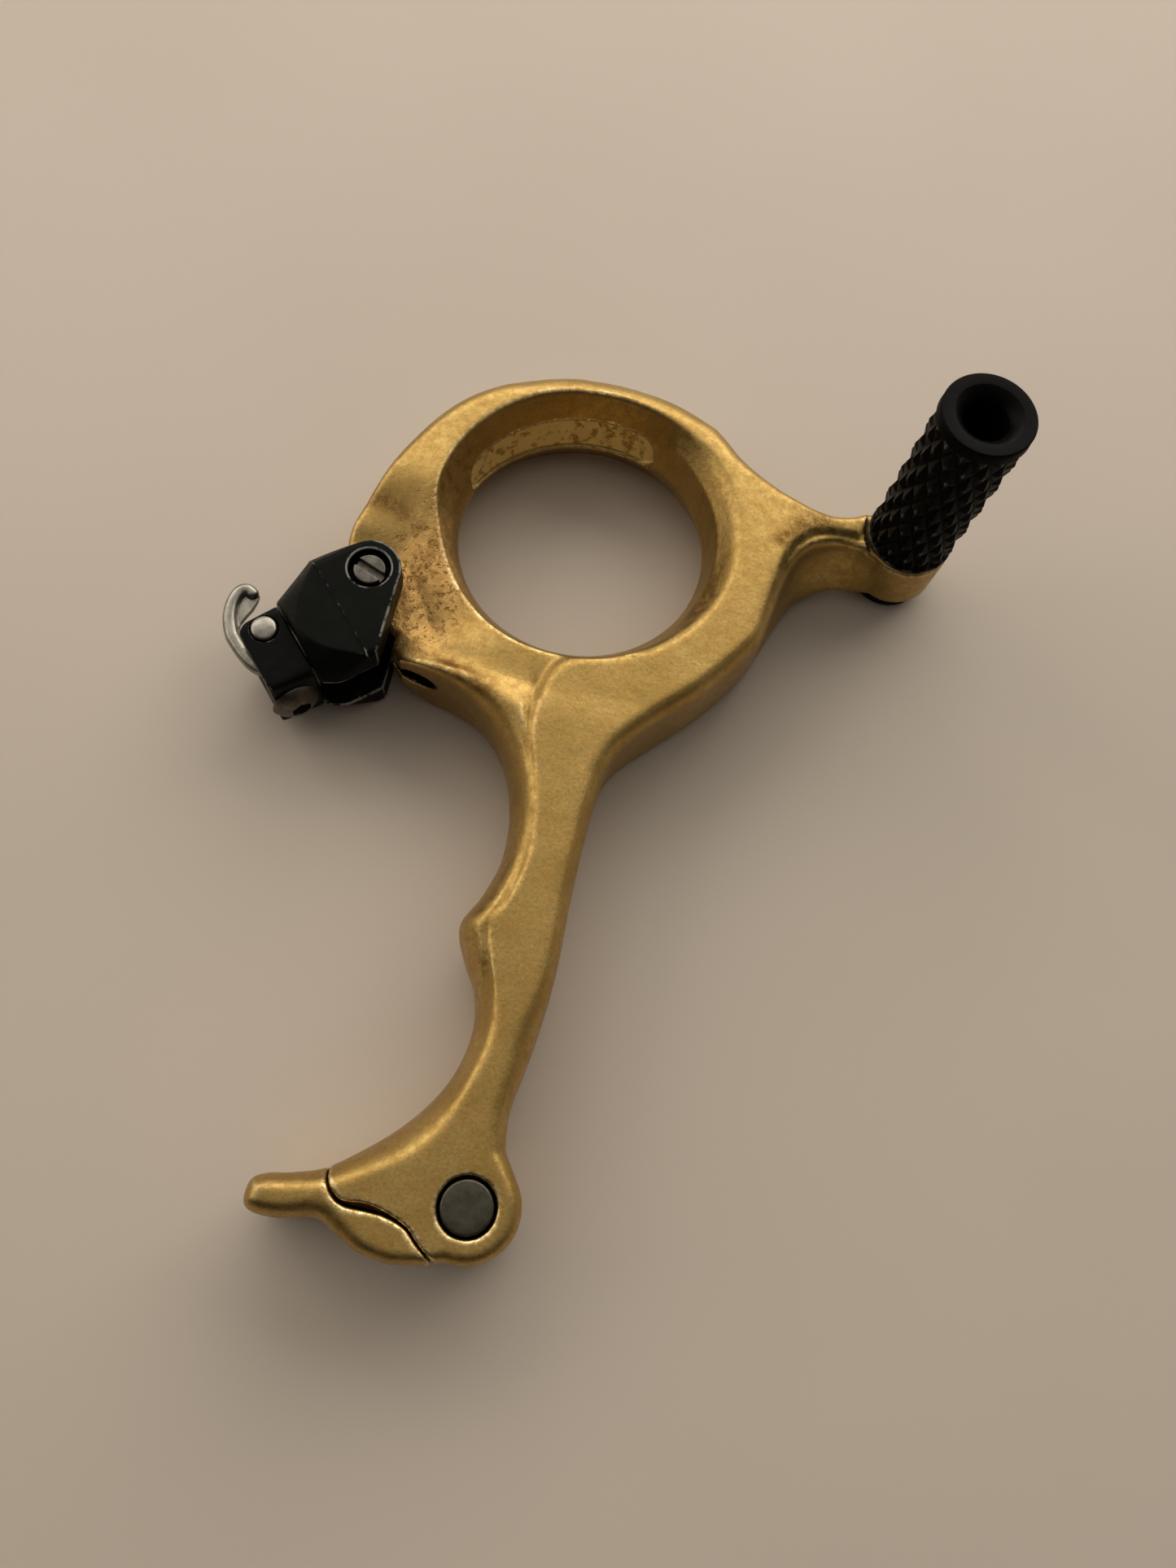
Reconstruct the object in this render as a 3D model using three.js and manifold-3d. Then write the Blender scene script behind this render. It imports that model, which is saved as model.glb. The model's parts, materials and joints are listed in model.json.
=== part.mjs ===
// A brass hinge release aid for archery: a finger-ring handle with a knurled thumb
// barrel, a folding little-finger extension, and a black swivel head with a steel hook.
//
// Millimetres, +Z up. The handle lies flat, its underside on Z = 0. Parts are drawn from
// the centre of the index-finger ring; the finished assembly is moved so that its origin
// is under the middle of its bounding box. The head is drawn in its own frame: origin at
// its pivot, +X along the pull, +Y towards the little-finger side.

import * as THREE from 'three';
import { mergeVertices } from 'three/addons/utils/BufferGeometryUtils.js';
import Module from 'manifold-3d';

const wasm = await Module();
wasm.setup();

// ---------------------------------------------------------------- driving dimensions

const THICKNESS = 12.7;
const MID = THICKNESS / 2;
const GAP = 0.3;

const RING = {
  throat: 14,
  crease: 16.9,
  outer: 23.5,
  outerX: 0.3,
  outerY: -3.0,
  pocketFloor: 15.5,
  pocketHeight: 5,
  pocketStart: 68,
  pocketEnd: 166,
};

const EDGE_ROUND = 1.2;

const PEG = {
  x: 36.4,
  y: 10.9,
  radius: 4.95,
  base: 9.1,
  top: 32,
  bore: 2.4,
  collar: 2.6,
  bevel: 0.7,
};

const BOSS = { radius: 5.0, top: 8.8, underside: 2.0 };

const PEG_SCREW = { headRadius: 4.3, headHeight: 1.5, shankRadius: 2.1, tip: 21 };

const PIVOT = { x: -20.6, y: -12.7 };

const TONGUE = { bottom: 3.8, top: 8.9, radius: 4.2, bore: 2.5 };

const HEAD = {
  direction: 225,
  axisY: 2.8,
  cheekInner: 3.3,
  lobe: 3.4,
  nearSide: 9.1,
  farSide: -5.2,
  rearCornerX: 3.9,
  shoulder: 5.0,
  front: 9.9,
  slotEnd: 4.9,
};

const BLOCK = { rear: 10.4, front: 15.2, halfWidth: 4.2, halfHeight: 4.5, chamfer: 0.6 };

const STEM = { radius: 2.2, bore: 1.15, rear: 5.6 };

const HOOK_PIN = { x: 12.65, y: 0.32, headRadius: 1.36, shaftRadius: 0.9 };

const HOOK = { wire: 0.78, hub: 1.75, hubHole: 1.2, plate: 1.6 };

const LOCK_SCREW = { x: 13.0, headRadius: 2.85, headHeight: 1.6, shankRadius: 1.2, shankLength: 1.7 };

const HINGE = { x: 7.1, y: -71.8, boss: 5.0, pin: 2.45, slotBottom: 3.8, slotTop: 8.9 };

const PIVOT_SCREW = { headRadius: 1.85, seat: 11.15, top: 12.4, shank: 1.2, slotWidth: 0.6, slotAngle: 96 };

const COUNTERBORE = { radius: 2.35, depth: 1.7, hole: 1.5 };

const PLUNGER = { radius: 0.8, rear: 4.55, front: 12.6, nose: 0.3 };

const DETENT = { angle: 96, ball: 1.0, bore: 1.15, depth: 9.5, springRadius: 0.62, springWire: 0.16 };

const MOON = { radius: 4.4, hole: 2.6, bottom: 5.35, top: 7.35, flatAngle: 210, flatDepth: 3.3 };

const MOON_SCREW = { start: 5.0, end: 8.6, wall: 13, radius: 1.1, angle: -48, socket: 0.6 };

const TRAVEL_SCREW = { y: -6.6, mouth: -28, start: -25.0, end: -21.9, radius: 1.0, socket: 0.5 };

const WHOLE_TURN = 2 * Math.PI;

// ---------------------------------------------------------------- materials

function finish(color, roughness, metalness) {
  return new THREE.MeshStandardMaterial({ color, roughness, metalness });
}

const brass = () => finish(0xb8893b, 0.38, 1.0);
const bronze = () => finish(0x8d6a3a, 0.45, 1.0);
const blackAnodised = () => finish(0x1b1c1e, 0.5, 0.6);
const blackKnurl = () => finish(0x141414, 0.6, 0.5);
const satinSteel = () => finish(0xc9c7c2, 0.3, 1.0);
const darkSteel = () => finish(0x55524d, 0.4, 1.0);

// ---------------------------------------------------------------- solids and booleans

function toSolid(geometry) {
  const bare = geometry.clone();
  bare.deleteAttribute('normal');
  bare.deleteAttribute('uv');
  const merged = mergeVertices(bare, 1e-4);
  const vertProperties = new Float32Array(merged.attributes.position.array);
  const triVerts = new Uint32Array(merged.index.array);
  return new wasm.Manifold(new wasm.Mesh({ numProp: 3, vertProperties, triVerts }));
}

function toGeometry(solid) {
  const mesh = solid.getMesh();
  const geometry = new THREE.BufferGeometry();
  geometry.setAttribute('position', new THREE.BufferAttribute(mesh.vertProperties, 3));
  geometry.setIndex(new THREE.BufferAttribute(mesh.triVerts, 1));
  geometry.computeVertexNormals();
  return geometry;
}

function cut(base, ...tools) {
  return tools.reduce((solid, tool) => solid.subtract(tool), base);
}

function join(base, ...others) {
  return others.reduce((solid, other) => solid.add(other), base);
}

function part(name, shape, material) {
  const geometry = shape.isBufferGeometry ? shape : toGeometry(shape);
  const mesh = new THREE.Mesh(geometry, material);
  mesh.name = name;
  return mesh;
}

function radians(degrees) {
  return THREE.MathUtils.degToRad(degrees);
}

function upright(radius, z0, z1, x = 0, y = 0, segments = 28) {
  const geometry = new THREE.CylinderGeometry(radius, radius, z1 - z0, segments);
  geometry.rotateX(Math.PI / 2);
  geometry.translate(x, y, (z0 + z1) / 2);
  return toSolid(geometry);
}

function rodBetween(start, end, radius, segments = 24) {
  const from = new THREE.Vector3(...start);
  const to = new THREE.Vector3(...end);
  const along = to.clone().sub(from);
  const geometry = new THREE.CylinderGeometry(radius, radius, along.length(), segments);
  const turn = new THREE.Quaternion();
  turn.setFromUnitVectors(new THREE.Vector3(0, 1, 0), along.clone().normalize());
  geometry.applyQuaternion(turn);
  geometry.translate(...from.add(to).multiplyScalar(0.5).toArray());
  return toSolid(geometry);
}

function block(x0, x1, y0, y1, z0, z1) {
  const geometry = new THREE.BoxGeometry(x1 - x0, y1 - y0, z1 - z0);
  geometry.translate((x0 + x1) / 2, (y0 + y1) / 2, (z0 + z1) / 2);
  return toSolid(geometry);
}

// An upright prism of a plan outline, its edges chamfered inwards by `inset` over `drop`.
function chamferedPrism(shape, z0, z1, inset, drop) {
  const geometry = new THREE.ExtrudeGeometry(shape, {
    depth: z1 - z0 - 2 * drop,
    bevelEnabled: inset > 0,
    bevelThickness: drop,
    bevelSize: inset,
    bevelOffset: -inset,
    bevelSegments: 1,
    curveSegments: 8,
  });
  geometry.translate(0, 0, z0 + drop);
  return toSolid(geometry);
}

// Two chamfers, one steep and one shallow, make an edge that reads as rounded.
function prism(shape, z0, z1, round = 0) {
  if (round === 0) {
    return chamferedPrism(shape, z0, z1, 0, 0);
  }
  const near = round * 0.35;
  return chamferedPrism(shape, z0, z1, round, near).intersect(chamferedPrism(shape, z0, z1, near, round));
}

// A cutter whose outline grows by `flare` from its narrow end at `floor`, downwards or up.
function flaredCutter(shape, floor, flare, upwards) {
  const height = THICKNESS;
  const geometry = new THREE.ExtrudeGeometry(shape, {
    depth: height,
    bevelThickness: flare,
    bevelSize: flare,
    bevelSegments: 1,
    curveSegments: 4,
  });
  geometry.translate(0, 0, flare);
  if (!upwards) {
    geometry.rotateX(Math.PI);
    geometry.scale(1, -1, -1);
    geometry.translate(0, 0, -height - 2 * flare);
  }
  geometry.translate(0, 0, floor);
  return toSolid(geometry);
}

function polygon(points) {
  return new THREE.Shape(points.map(([x, y]) => new THREE.Vector2(x, y)));
}

function arc(x, y, radius, fromDegrees, toDegrees, steps) {
  return Array.from({ length: steps + 1 }, (_, i) => {
    const angle = radians(fromDegrees + ((toDegrees - fromDegrees) * i) / steps);
    return [x + radius * Math.cos(angle), y + radius * Math.sin(angle)];
  });
}

function smooth(points, steps) {
  const curve = new THREE.SplineCurve(points.map(([x, y]) => new THREE.Vector2(x, y)));
  return curve.getPoints(steps).map(({ x, y }) => [x, y]);
}

// Stretches of points joined into one closed outline, without repeated points.
function outline(...stretches) {
  const closest = 0.1;
  const apart = (a, b) => Math.hypot(a[0] - b[0], a[1] - b[1]) > closest;
  const points = stretches.flat();
  return polygon(points.filter((point, i) => apart(point, points[(i + 1) % points.length])));
}

function turned(profile, segments = 48) {
  const points = profile.map(([radius, height]) => new THREE.Vector2(radius, height));
  return new THREE.LatheGeometry(points, segments);
}

function tube(outer, inner, z0, z1, segments = 32) {
  const profile = [[inner, z0], [outer, z0], [outer, z1], [inner, z1], [inner, z0]];
  const geometry = turned(profile, segments);
  geometry.rotateX(Math.PI / 2);
  return geometry;
}

function coilSpring(radius, wire, length, turns, stepsPerTurn = 10) {
  const steps = turns * stepsPerTurn;
  const points = Array.from({ length: steps + 1 }, (_, i) => {
    const angle = (i / stepsPerTurn) * WHOLE_TURN;
    const along = wire + (length - 2 * wire) * (i / steps);
    return new THREE.Vector3(along, radius * Math.cos(angle), radius * Math.sin(angle));
  });
  return sweptRod(points, wire, steps, 6);
}

function sweptRod(points, radius, steps, sides = 10) {
  const section = new THREE.Shape();
  section.absarc(0, 0, radius, 0, WHOLE_TURN);
  return new THREE.ExtrudeGeometry(section, {
    steps,
    curveSegments: sides / 2,
    extrudePath: new THREE.CatmullRomCurve3(points),
  });
}

// ---------------------------------------------------------------- handle

// The plan outline, anticlockwise from the ring's right shoulder.
function handleOutline() {
  const ringArc = arc(RING.outerX, RING.outerY, RING.outer, 47, 152, 20);
  const fingerScallops = [
    [-12.0, -21.3], [-8.4, -22.2], [-4.6, -24.4], [-1.2, -28.6], [0.7, -33.6],
    [1.2, -38.6], [0.3, -43.0], [-1.0, -46.4], [0.3, -49.4], [2.2, -52.4],
    [3.1, -56.4], [2.2, -61.4], [-0.9, -66.4], [-5.8, -71.0],
  ];
  const palmSide = [
    [9.2, -66.2], [8.7, -62.6], [9.4, -56.0], [9.6, -49.0], [9.1, -40.0],
    [9.0, -31.0], [9.8, -25.4], [13.2, -20.6], [17.6, -15.6], [21.6, -9.2],
    [24.2, -1.6], [26.6, 3.2], [30.6, 5.3],
  ];
  return outline(
    ringArc,
    smooth([ringArc.at(-1), [-23.0, 2.6], [-24.8, -2.6], [-25.2, -6.6]], 6),
    [[-24.6, -10.0]],
    arc(PIVOT.x, PIVOT.y, TONGUE.radius, 150, 300, 10),
    [[-16.5, -17.8], [-16.4, -19.7], [-15.0, -20.8]],
    smooth(fingerScallops, 32),
    [[-5.4, -72.4]],
    smooth([[-5.0, -73.3], [-4.2, -73.9], [-2.6, -74.1]], 4),
    [[1.2, -74.1], [2.4, -74.35]],
    arc(HINGE.x, HINGE.y, HINGE.boss, 228, 396, 22),
    smooth(palmSide, 28),
    arc(PEG.x, PEG.y, BOSS.radius, 250, 512, 24),
    smooth([[28.6, 11.2], [24.8, 10.3], [21.2, 11.2], ringArc[0]], 8),
  );
}

// The ring's bore: narrowest at mid thickness, flaring on an arc to both faces.
function ringBore() {
  const steps = 6;
  const flare = RING.crease - RING.throat;
  const arcRadius = (flare * flare + MID * MID) / (2 * flare);
  const wall = Array.from({ length: steps + 1 }, (_, i) => {
    const z = -MID + (THICKNESS * i) / steps;
    const radius = RING.throat + arcRadius - Math.sqrt(arcRadius * arcRadius - z * z);
    return [radius, z];
  });
  const overrun = 1;
  const profile = [
    [0, -MID - overrun],
    [RING.crease, -MID - overrun],
    ...wall,
    [RING.crease, MID + overrun],
    [0, MID + overrun],
  ];
  const geometry = turned(profile, 48);
  geometry.rotateX(Math.PI / 2);
  geometry.translate(0, 0, MID);
  return toSolid(geometry);
}

// The shallow arc pocket milled in the ring's far wall, with round ends.
function ringPocket() {
  const inside = RING.throat - 2;
  const middle = (inside + RING.pocketFloor) / 2;
  const half = (RING.pocketFloor - inside) / 2;
  const [start, end] = [RING.pocketStart, RING.pocketEnd];
  const endCentre = arc(0, 0, middle, end, end, 1)[0];
  const startCentre = arc(0, 0, middle, start, start, 1)[0];
  const shape = outline(
    arc(0, 0, RING.pocketFloor, start, end, 14),
    arc(...endCentre, half, end, end + 180, 6),
    arc(0, 0, inside, end, start, 8),
    arc(...startCentre, half, start + 180, start + 360, 6),
  );
  const z0 = MID - RING.pocketHeight / 2;
  return prism(shape, z0, z0 + RING.pocketHeight);
}

// Both faces are cut down round the head, leaving a tongue at mid thickness.
function headRelief() {
  const outline = polygon([
    [-34, -8.2],
    [-19.0, -8.6],
    [-16.6, -10.6],
    [-13.4, -15.6],
    [-16.5, -17.0],
    [-16.6, -26.0],
    [-34, -26.0],
  ]);
  const flare = THICKNESS - TONGUE.top;
  return [
    flaredCutter(outline, TONGUE.top, flare, true),
    flaredCutter(outline, TONGUE.bottom, flare, false),
  ];
}

// A cutter drawn in side view, X and Z, that runs right across the handle.
function acrossCutter(points) {
  const reach = 100;
  const geometry = new THREE.ExtrudeGeometry(polygon(points), { depth: reach, bevelEnabled: false });
  geometry.rotateX(Math.PI / 2);
  geometry.translate(0, reach / 2, 0);
  return toSolid(geometry);
}

// The arm falls away from the ring to the thumb-barrel seat, above and below.
function armRelief() {
  const seatEdge = PEG.x - BOSS.radius - 0.2;
  const slopeStart = seatEdge - 9;
  const end = PEG.x + 20;
  const above = acrossCutter([
    [seatEdge, BOSS.top],
    [end, BOSS.top],
    [end, THICKNESS + 5],
    [slopeStart, THICKNESS + 5],
    [slopeStart, THICKNESS],
  ]);
  const below = acrossCutter([
    [slopeStart + 3, 0],
    [slopeStart + 3, -5],
    [end, -5],
    [end, BOSS.underside],
    [seatEdge, BOSS.underside],
  ]);
  return [above, below];
}

// The fork that takes the little-finger extension: a slot at mid thickness that lets the
// extension's eye turn about the hinge pin.
function extensionSlot() {
  const reach = 12;
  const wedge = outline([[HINGE.x, HINGE.y]], arc(HINGE.x, HINGE.y, reach, 205, 385, 12));
  const eye = upright(HINGE.boss + 0.15, HINGE.slotBottom, HINGE.slotTop, HINGE.x, HINGE.y, 36);
  return [eye, prism(wedge, HINGE.slotBottom, HINGE.slotTop)];
}

const detentStart = HINGE.boss - 0.2;

function alongDetent(distance) {
  return [
    HINGE.x + distance * Math.cos(radians(DETENT.angle)),
    HINGE.y + distance * Math.sin(radians(DETENT.angle)),
    MID,
  ];
}

function fromPivot(distance, degrees, z = MID) {
  return [
    PIVOT.x + distance * Math.cos(radians(degrees)),
    PIVOT.y + distance * Math.sin(radians(degrees)),
    z,
  ];
}

// Threaded hole of the screw that bears on the half moon.
function moonScrewHole() {
  const inner = fromPivot(MOON.radius, MOON_SCREW.angle);
  const outer = fromPivot(MOON_SCREW.wall, MOON_SCREW.angle);
  return rodBetween(inner, outer, MOON_SCREW.radius + GAP);
}

function travelScrewHole() {
  const { mouth, end, y, radius } = TRAVEL_SCREW;
  return rodBetween([mouth, y, MID], [end + GAP, y, MID], radius + GAP);
}

function handleBody() {
  const plate = prism(handleOutline(), 0, THICKNESS, EDGE_ROUND);
  const pinHole = HINGE.pin + GAP;
  const moonSlot = upright(MOON.radius + GAP, MOON.bottom - GAP, MOON.top + GAP, PIVOT.x, PIVOT.y, 32);
  const solid = cut(
    plate,
    ringBore(),
    ringPocket(),
    ...headRelief(),
    ...armRelief(),
    ...extensionSlot(),
    upright(pinHole, -1, THICKNESS + 1, HINGE.x, HINGE.y),
    upright(TONGUE.bore, 0, THICKNESS, PIVOT.x, PIVOT.y),
    moonSlot,
    moonScrewHole(),
    travelScrewHole(),
    upright(PEG_SCREW.shankRadius + GAP, 0, THICKNESS, PEG.x, PEG.y),
    rodBetween(alongDetent(detentStart), alongDetent(detentStart + DETENT.depth), DETENT.bore),
  );
  return part('handle_body', solid, brass());
}

// A headless screw from its driven end to its point, with a hexagonal socket.
function setScrew(name, start, end, radius, socketRadius) {
  const socketDepth = 1.3;
  const body = rodBetween(start, end, radius);
  const from = new THREE.Vector3(...start);
  const axis = new THREE.Vector3(...end).sub(from).normalize();
  const before = from.clone().addScaledVector(axis, -0.5).toArray();
  const within = from.clone().addScaledVector(axis, socketDepth).toArray();
  return part(name, cut(body, rodBetween(before, within, socketRadius, 6)), darkSteel());
}

function halfMoonSetScrew() {
  const { start, end, angle, radius, socket } = MOON_SCREW;
  return setScrew('half_moon_set_screw', fromPivot(end, angle), fromPivot(start, angle), radius, socket);
}

function headTravelSetScrew() {
  const { start, end, y, radius, socket } = TRAVEL_SCREW;
  return setScrew('head_travel_set_screw', [start, y, MID], [end, y, MID], radius, socket);
}

function halfMoon() {
  const disc = upright(MOON.radius, MOON.bottom, MOON.top, PIVOT.x, PIVOT.y, 32);
  const hole = upright(MOON.hole, 0, THICKNESS, PIVOT.x, PIVOT.y);
  const flat = new THREE.BoxGeometry(10, 14, THICKNESS);
  flat.translate(5 + MOON.flatDepth, 0, MID);
  flat.rotateZ(radians(MOON.flatAngle));
  flat.translate(PIVOT.x, PIVOT.y, 0);
  return part('half_moon', cut(disc, hole, toSolid(flat)), satinSteel());
}

function pivotBushing() {
  const geometry = tube(TONGUE.bore - 0.2, 1.5, TONGUE.bottom, TONGUE.top);
  geometry.translate(PIVOT.x, PIVOT.y, 0);
  return part('pivot_bushing', geometry, bronze());
}

function thumbBarrel() {
  const { radius, base, top, bore, bevel, collar } = PEG;
  const neck = radius - 0.3;
  const profile = [
    [bore, base],
    [radius - 0.4, base],
    [radius, base + 0.4],
    [radius, top - collar],
    [neck, top - collar + 0.3],
    [neck, top - bevel],
    [neck - bevel, top],
    [bore + 0.3, top],
    [bore, top - 0.3],
    [bore, base],
  ];
  const geometry = turned(profile, 36);
  geometry.rotateX(Math.PI / 2);
  geometry.translate(PEG.x, PEG.y, 0);
  return part('thumb_barrel', geometry, blackKnurl());
}

function thumbBarrelScrew() {
  const headTop = BOSS.underside - 0.2;
  const head = upright(PEG_SCREW.headRadius, headTop - PEG_SCREW.headHeight, headTop, PEG.x, PEG.y);
  const shank = upright(PEG_SCREW.shankRadius, headTop - 0.1, PEG_SCREW.tip, PEG.x, PEG.y, 32);
  const socket = upright(1.7, -1, headTop - 0.5, PEG.x, PEG.y, 6);
  return part('thumb_barrel_screw', cut(join(head, shank), socket), blackAnodised());
}

// ---------------------------------------------------------------- little-finger extension

function extensionOutline() {
  const inner = HINGE.boss + GAP;
  return outline(
    smooth([[-6.2, -71.5], [-9.0, -72.7], [-11.8, -73.4], [-13.3, -74.6], [-13.1, -76.3]], 10),
    smooth([[-11.6, -77.0], [-8.6, -76.9], [-5.9, -76.3], [-3.8, -76.7], [-1.4, -77.8], [1.6, -78.1]], 14),
    [[5.0, -77.55]],
    arc(HINGE.x, HINGE.y, inner, 250, 229, 3),
    [[2.2, -74.75], [1.1, -74.45], [-2.6, -74.4]],
    smooth([[-4.2, -74.15], [-5.3, -73.5], [-5.75, -72.5]], 3),
  );
}

function littleFingerExtension() {
  const outer = prism(extensionOutline(), 0.05, THICKNESS - 0.05, 0.2);
  const z0 = HINGE.slotBottom + GAP;
  const z1 = HINGE.slotTop - GAP;
  const eye = upright(HINGE.boss - 0.35, z0, z1, HINGE.x, HINGE.y, 36);
  const web = outline([[HINGE.x, HINGE.y]], arc(HINGE.x, HINGE.y, HINGE.boss + 1.0, 216, 246, 6));
  const arm = prism(web, z0, z1);
  const hole = upright(HINGE.pin + GAP, 0, THICKNESS, HINGE.x, HINGE.y);
  return part('little_finger_extension', cut(join(outer, eye, arm), hole), brass());
}

function extensionHingePin() {
  const profile = [
    [0, 0.15],
    [HINGE.pin - 0.25, 0.15],
    [HINGE.pin, 0.4],
    [HINGE.pin, THICKNESS - 0.4],
    [HINGE.pin - 0.25, THICKNESS - 0.15],
    [0, THICKNESS - 0.15],
  ];
  const geometry = turned(profile, 40);
  geometry.rotateX(Math.PI / 2);
  geometry.translate(HINGE.x, HINGE.y, 0);
  return part('extension_hinge_pin', geometry, darkSteel());
}

function detentBall() {
  const geometry = new THREE.SphereGeometry(DETENT.ball, 16, 10);
  geometry.translate(...alongDetent(detentStart + DETENT.ball + 0.25));
  return part('extension_detent_ball', geometry, satinSteel());
}

function detentSpring() {
  const start = detentStart + 2 * DETENT.ball + 0.45;
  const length = DETENT.depth - 2 * DETENT.ball - 0.8;
  const geometry = coilSpring(DETENT.springRadius, DETENT.springWire, length, 6, 8);
  geometry.rotateZ(radians(DETENT.angle));
  geometry.translate(...alongDetent(start));
  return part('extension_detent_spring', geometry, satinSteel());
}

// ---------------------------------------------------------------- head (in its own frame)

// Radius of the turned head about the pull axis, from the rear forwards.
const HEAD_PROFILE = [
  [-4, 11],
  [HEAD.shoulder, 8.7],
  [6.6, 7.6],
  [8.2, 6.9],
  [HEAD.front, 6.4],
];

function alongPull(geometry) {
  geometry.rotateZ(-Math.PI / 2);
  geometry.translate(0, HEAD.axisY, MID);
  return geometry;
}

function pullRod(radius, x0, x1, segments = 32) {
  return rodBetween([x0, HEAD.axisY, MID], [x1, HEAD.axisY, MID], radius, segments);
}

// A lathe turns about +Y, so its heights become distances along the pull, +X.
function turnedHead() {
  const wall = HEAD_PROFILE.map(([x, radius]) => [radius, x]);
  const first = wall[0][1];
  const profile = [[0, first], ...wall, [0, HEAD.front]];
  return toSolid(alongPull(turned(profile, 40)));
}

function yokeOutline() {
  const { lobe, front, farSide, nearSide, rearCornerX, shoulder } = HEAD;
  return outline(
    [[front + 1, farSide], [front + 1, nearSide], [rearCornerX, nearSide]],
    arc(0, 0, lobe, 135, 270, 12),
    [[shoulder, -lobe], [shoulder, farSide]],
  );
}

function headYoke() {
  const plan = prism(yokeOutline(), 0, THICKNESS, 0.35);
  const slotTop = THICKNESS - HEAD.cheekInner;
  const slot = join(
    block(-10, 2.2, -10, 20, HEAD.cheekInner, slotTop),
    block(-10, HEAD.shoulder + 1.6, 3.6, 20, HEAD.cheekInner, slotTop),
    upright(HEAD.slotEnd, HEAD.cheekInner, slotTop, 0, 0, 48),
  );
  const sideWindow = block(
    HEAD.shoulder + 1.5,
    HEAD.front + 3,
    HEAD.axisY + 3.2,
    20,
    HEAD.cheekInner + 0.2,
    slotTop - 0.2,
  );
  const solid = cut(
    turnedHead().intersect(plan),
    slot,
    sideWindow,
    pullRod(STEM.radius + GAP, 3, HEAD.front + 2),
    pullRod(STEM.radius + 1.4, 2, STEM.rear + 1.3),
    upright(COUNTERBORE.hole, -1, THICKNESS + 1, 0, 0, 24),
    upright(COUNTERBORE.radius, THICKNESS - COUNTERBORE.depth, THICKNESS + 1, 0, 0),
  );
  return part('head_yoke', solid, blackAnodised());
}

function pivotScrew() {
  const { headRadius, seat, top, shank, slotWidth, slotAngle } = PIVOT_SCREW;
  const head = upright(headRadius, seat, top, 0, 0, 36);
  const stem = upright(shank, 0.3, seat + 0.1, 0, 0, 24);
  const slot = new THREE.BoxGeometry(3 * headRadius, slotWidth, 0.7);
  slot.translate(0, 0, top);
  slot.rotateZ(radians(slotAngle));
  return part('pivot_screw', cut(join(head, stem), toSolid(slot)), darkSteel());
}

function thrustWasher(name, z0) {
  return part(name, tube(3.1, 1.5, z0, z0 + 0.3), bronze());
}

function swivelRetainingRing() {
  const geometry = turned([
    [STEM.bore + 0.2, STEM.rear - 0.75],
    [STEM.radius + 0.9, STEM.rear - 0.75],
    [STEM.radius + 0.9, STEM.rear - 0.15],
    [STEM.bore + 0.2, STEM.rear - 0.15],
    [STEM.bore + 0.2, STEM.rear - 0.75],
  ], 32);
  return part('swivel_retaining_ring', alongPull(geometry), satinSteel());
}

function swivelWasher() {
  const inner = STEM.radius + 0.15;
  const x0 = HEAD.front + 0.1;
  const x1 = BLOCK.rear - 0.1;
  const geometry = turned([[inner, x0], [3.8, x0], [3.8, x1], [inner, x1], [inner, x0]], 36);
  return part('swivel_washer', alongPull(geometry), darkSteel());
}

// The pin that carries the hook's load back to the half moon.
function searPlunger() {
  const { radius, rear, front, nose } = PLUNGER;
  const geometry = turned([
    [0, rear],
    [radius, rear + nose],
    [radius, front - nose],
    [0, front],
  ], 20);
  return part('sear_plunger', alongPull(geometry), satinSteel());
}

function lockScrewHole(faceY) {
  const { x, shankLength, shankRadius } = LOCK_SCREW;
  const clearance = 0.2;
  return rodBetween([x, faceY - shankLength - clearance, MID], [x, faceY + 1, MID], shankRadius + clearance);
}

// The swivelling block that carries the hook: a stem in the head and a slotted nose.
function hookBlock() {
  const { rear, front, halfWidth, halfHeight, chamfer } = BLOCK;
  const y0 = HEAD.axisY - halfWidth;
  const y1 = HEAD.axisY + halfWidth;
  const plan = outline(
    [[rear, y1], [rear, y0]],
    arc(front - 1.2, y0 + 1.2, 1.2, 270, 360, 4),
    [[front, y1 - chamfer], [front - chamfer, y1]],
  );
  const body = prism(plan, MID - halfHeight, MID + halfHeight, 0.4);
  const bar = toSolid(alongPull(turned([[0, rear], [6.1, rear], [5.9, front + 1], [0, front + 1]], 48)));
  const slotHalf = HOOK.plate / 2 + GAP;
  const slotZ = [MID - slotHalf, MID + slotHalf];
  const swing = upright(4.9, ...slotZ, HOOK_PIN.x, HOOK_PIN.y, 48).subtract(
    block(0, rear + 0.5, -20, 20, 0, THICKNESS),
  );
  const mouth = block(HOOK_PIN.x, front + 2, y0 - 1, HOOK_PIN.y + 4.2, ...slotZ);
  const solid = cut(
    join(body.intersect(bar), pullRod(STEM.radius, STEM.rear, rear + 0.5)),
    swing,
    mouth,
    pullRod(STEM.bore, STEM.rear - 1, HOOK_PIN.x + 0.6, 24),
    upright(HOOK_PIN.shaftRadius + GAP, 0, THICKNESS, HOOK_PIN.x, HOOK_PIN.y, 24),
    upright(HOOK_PIN.headRadius + 0.2, MID + halfHeight - 0.7, THICKNESS, HOOK_PIN.x, HOOK_PIN.y, 28),
    lockScrewHole(y1),
  );
  return part('hook_block', solid, blackAnodised());
}

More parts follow.
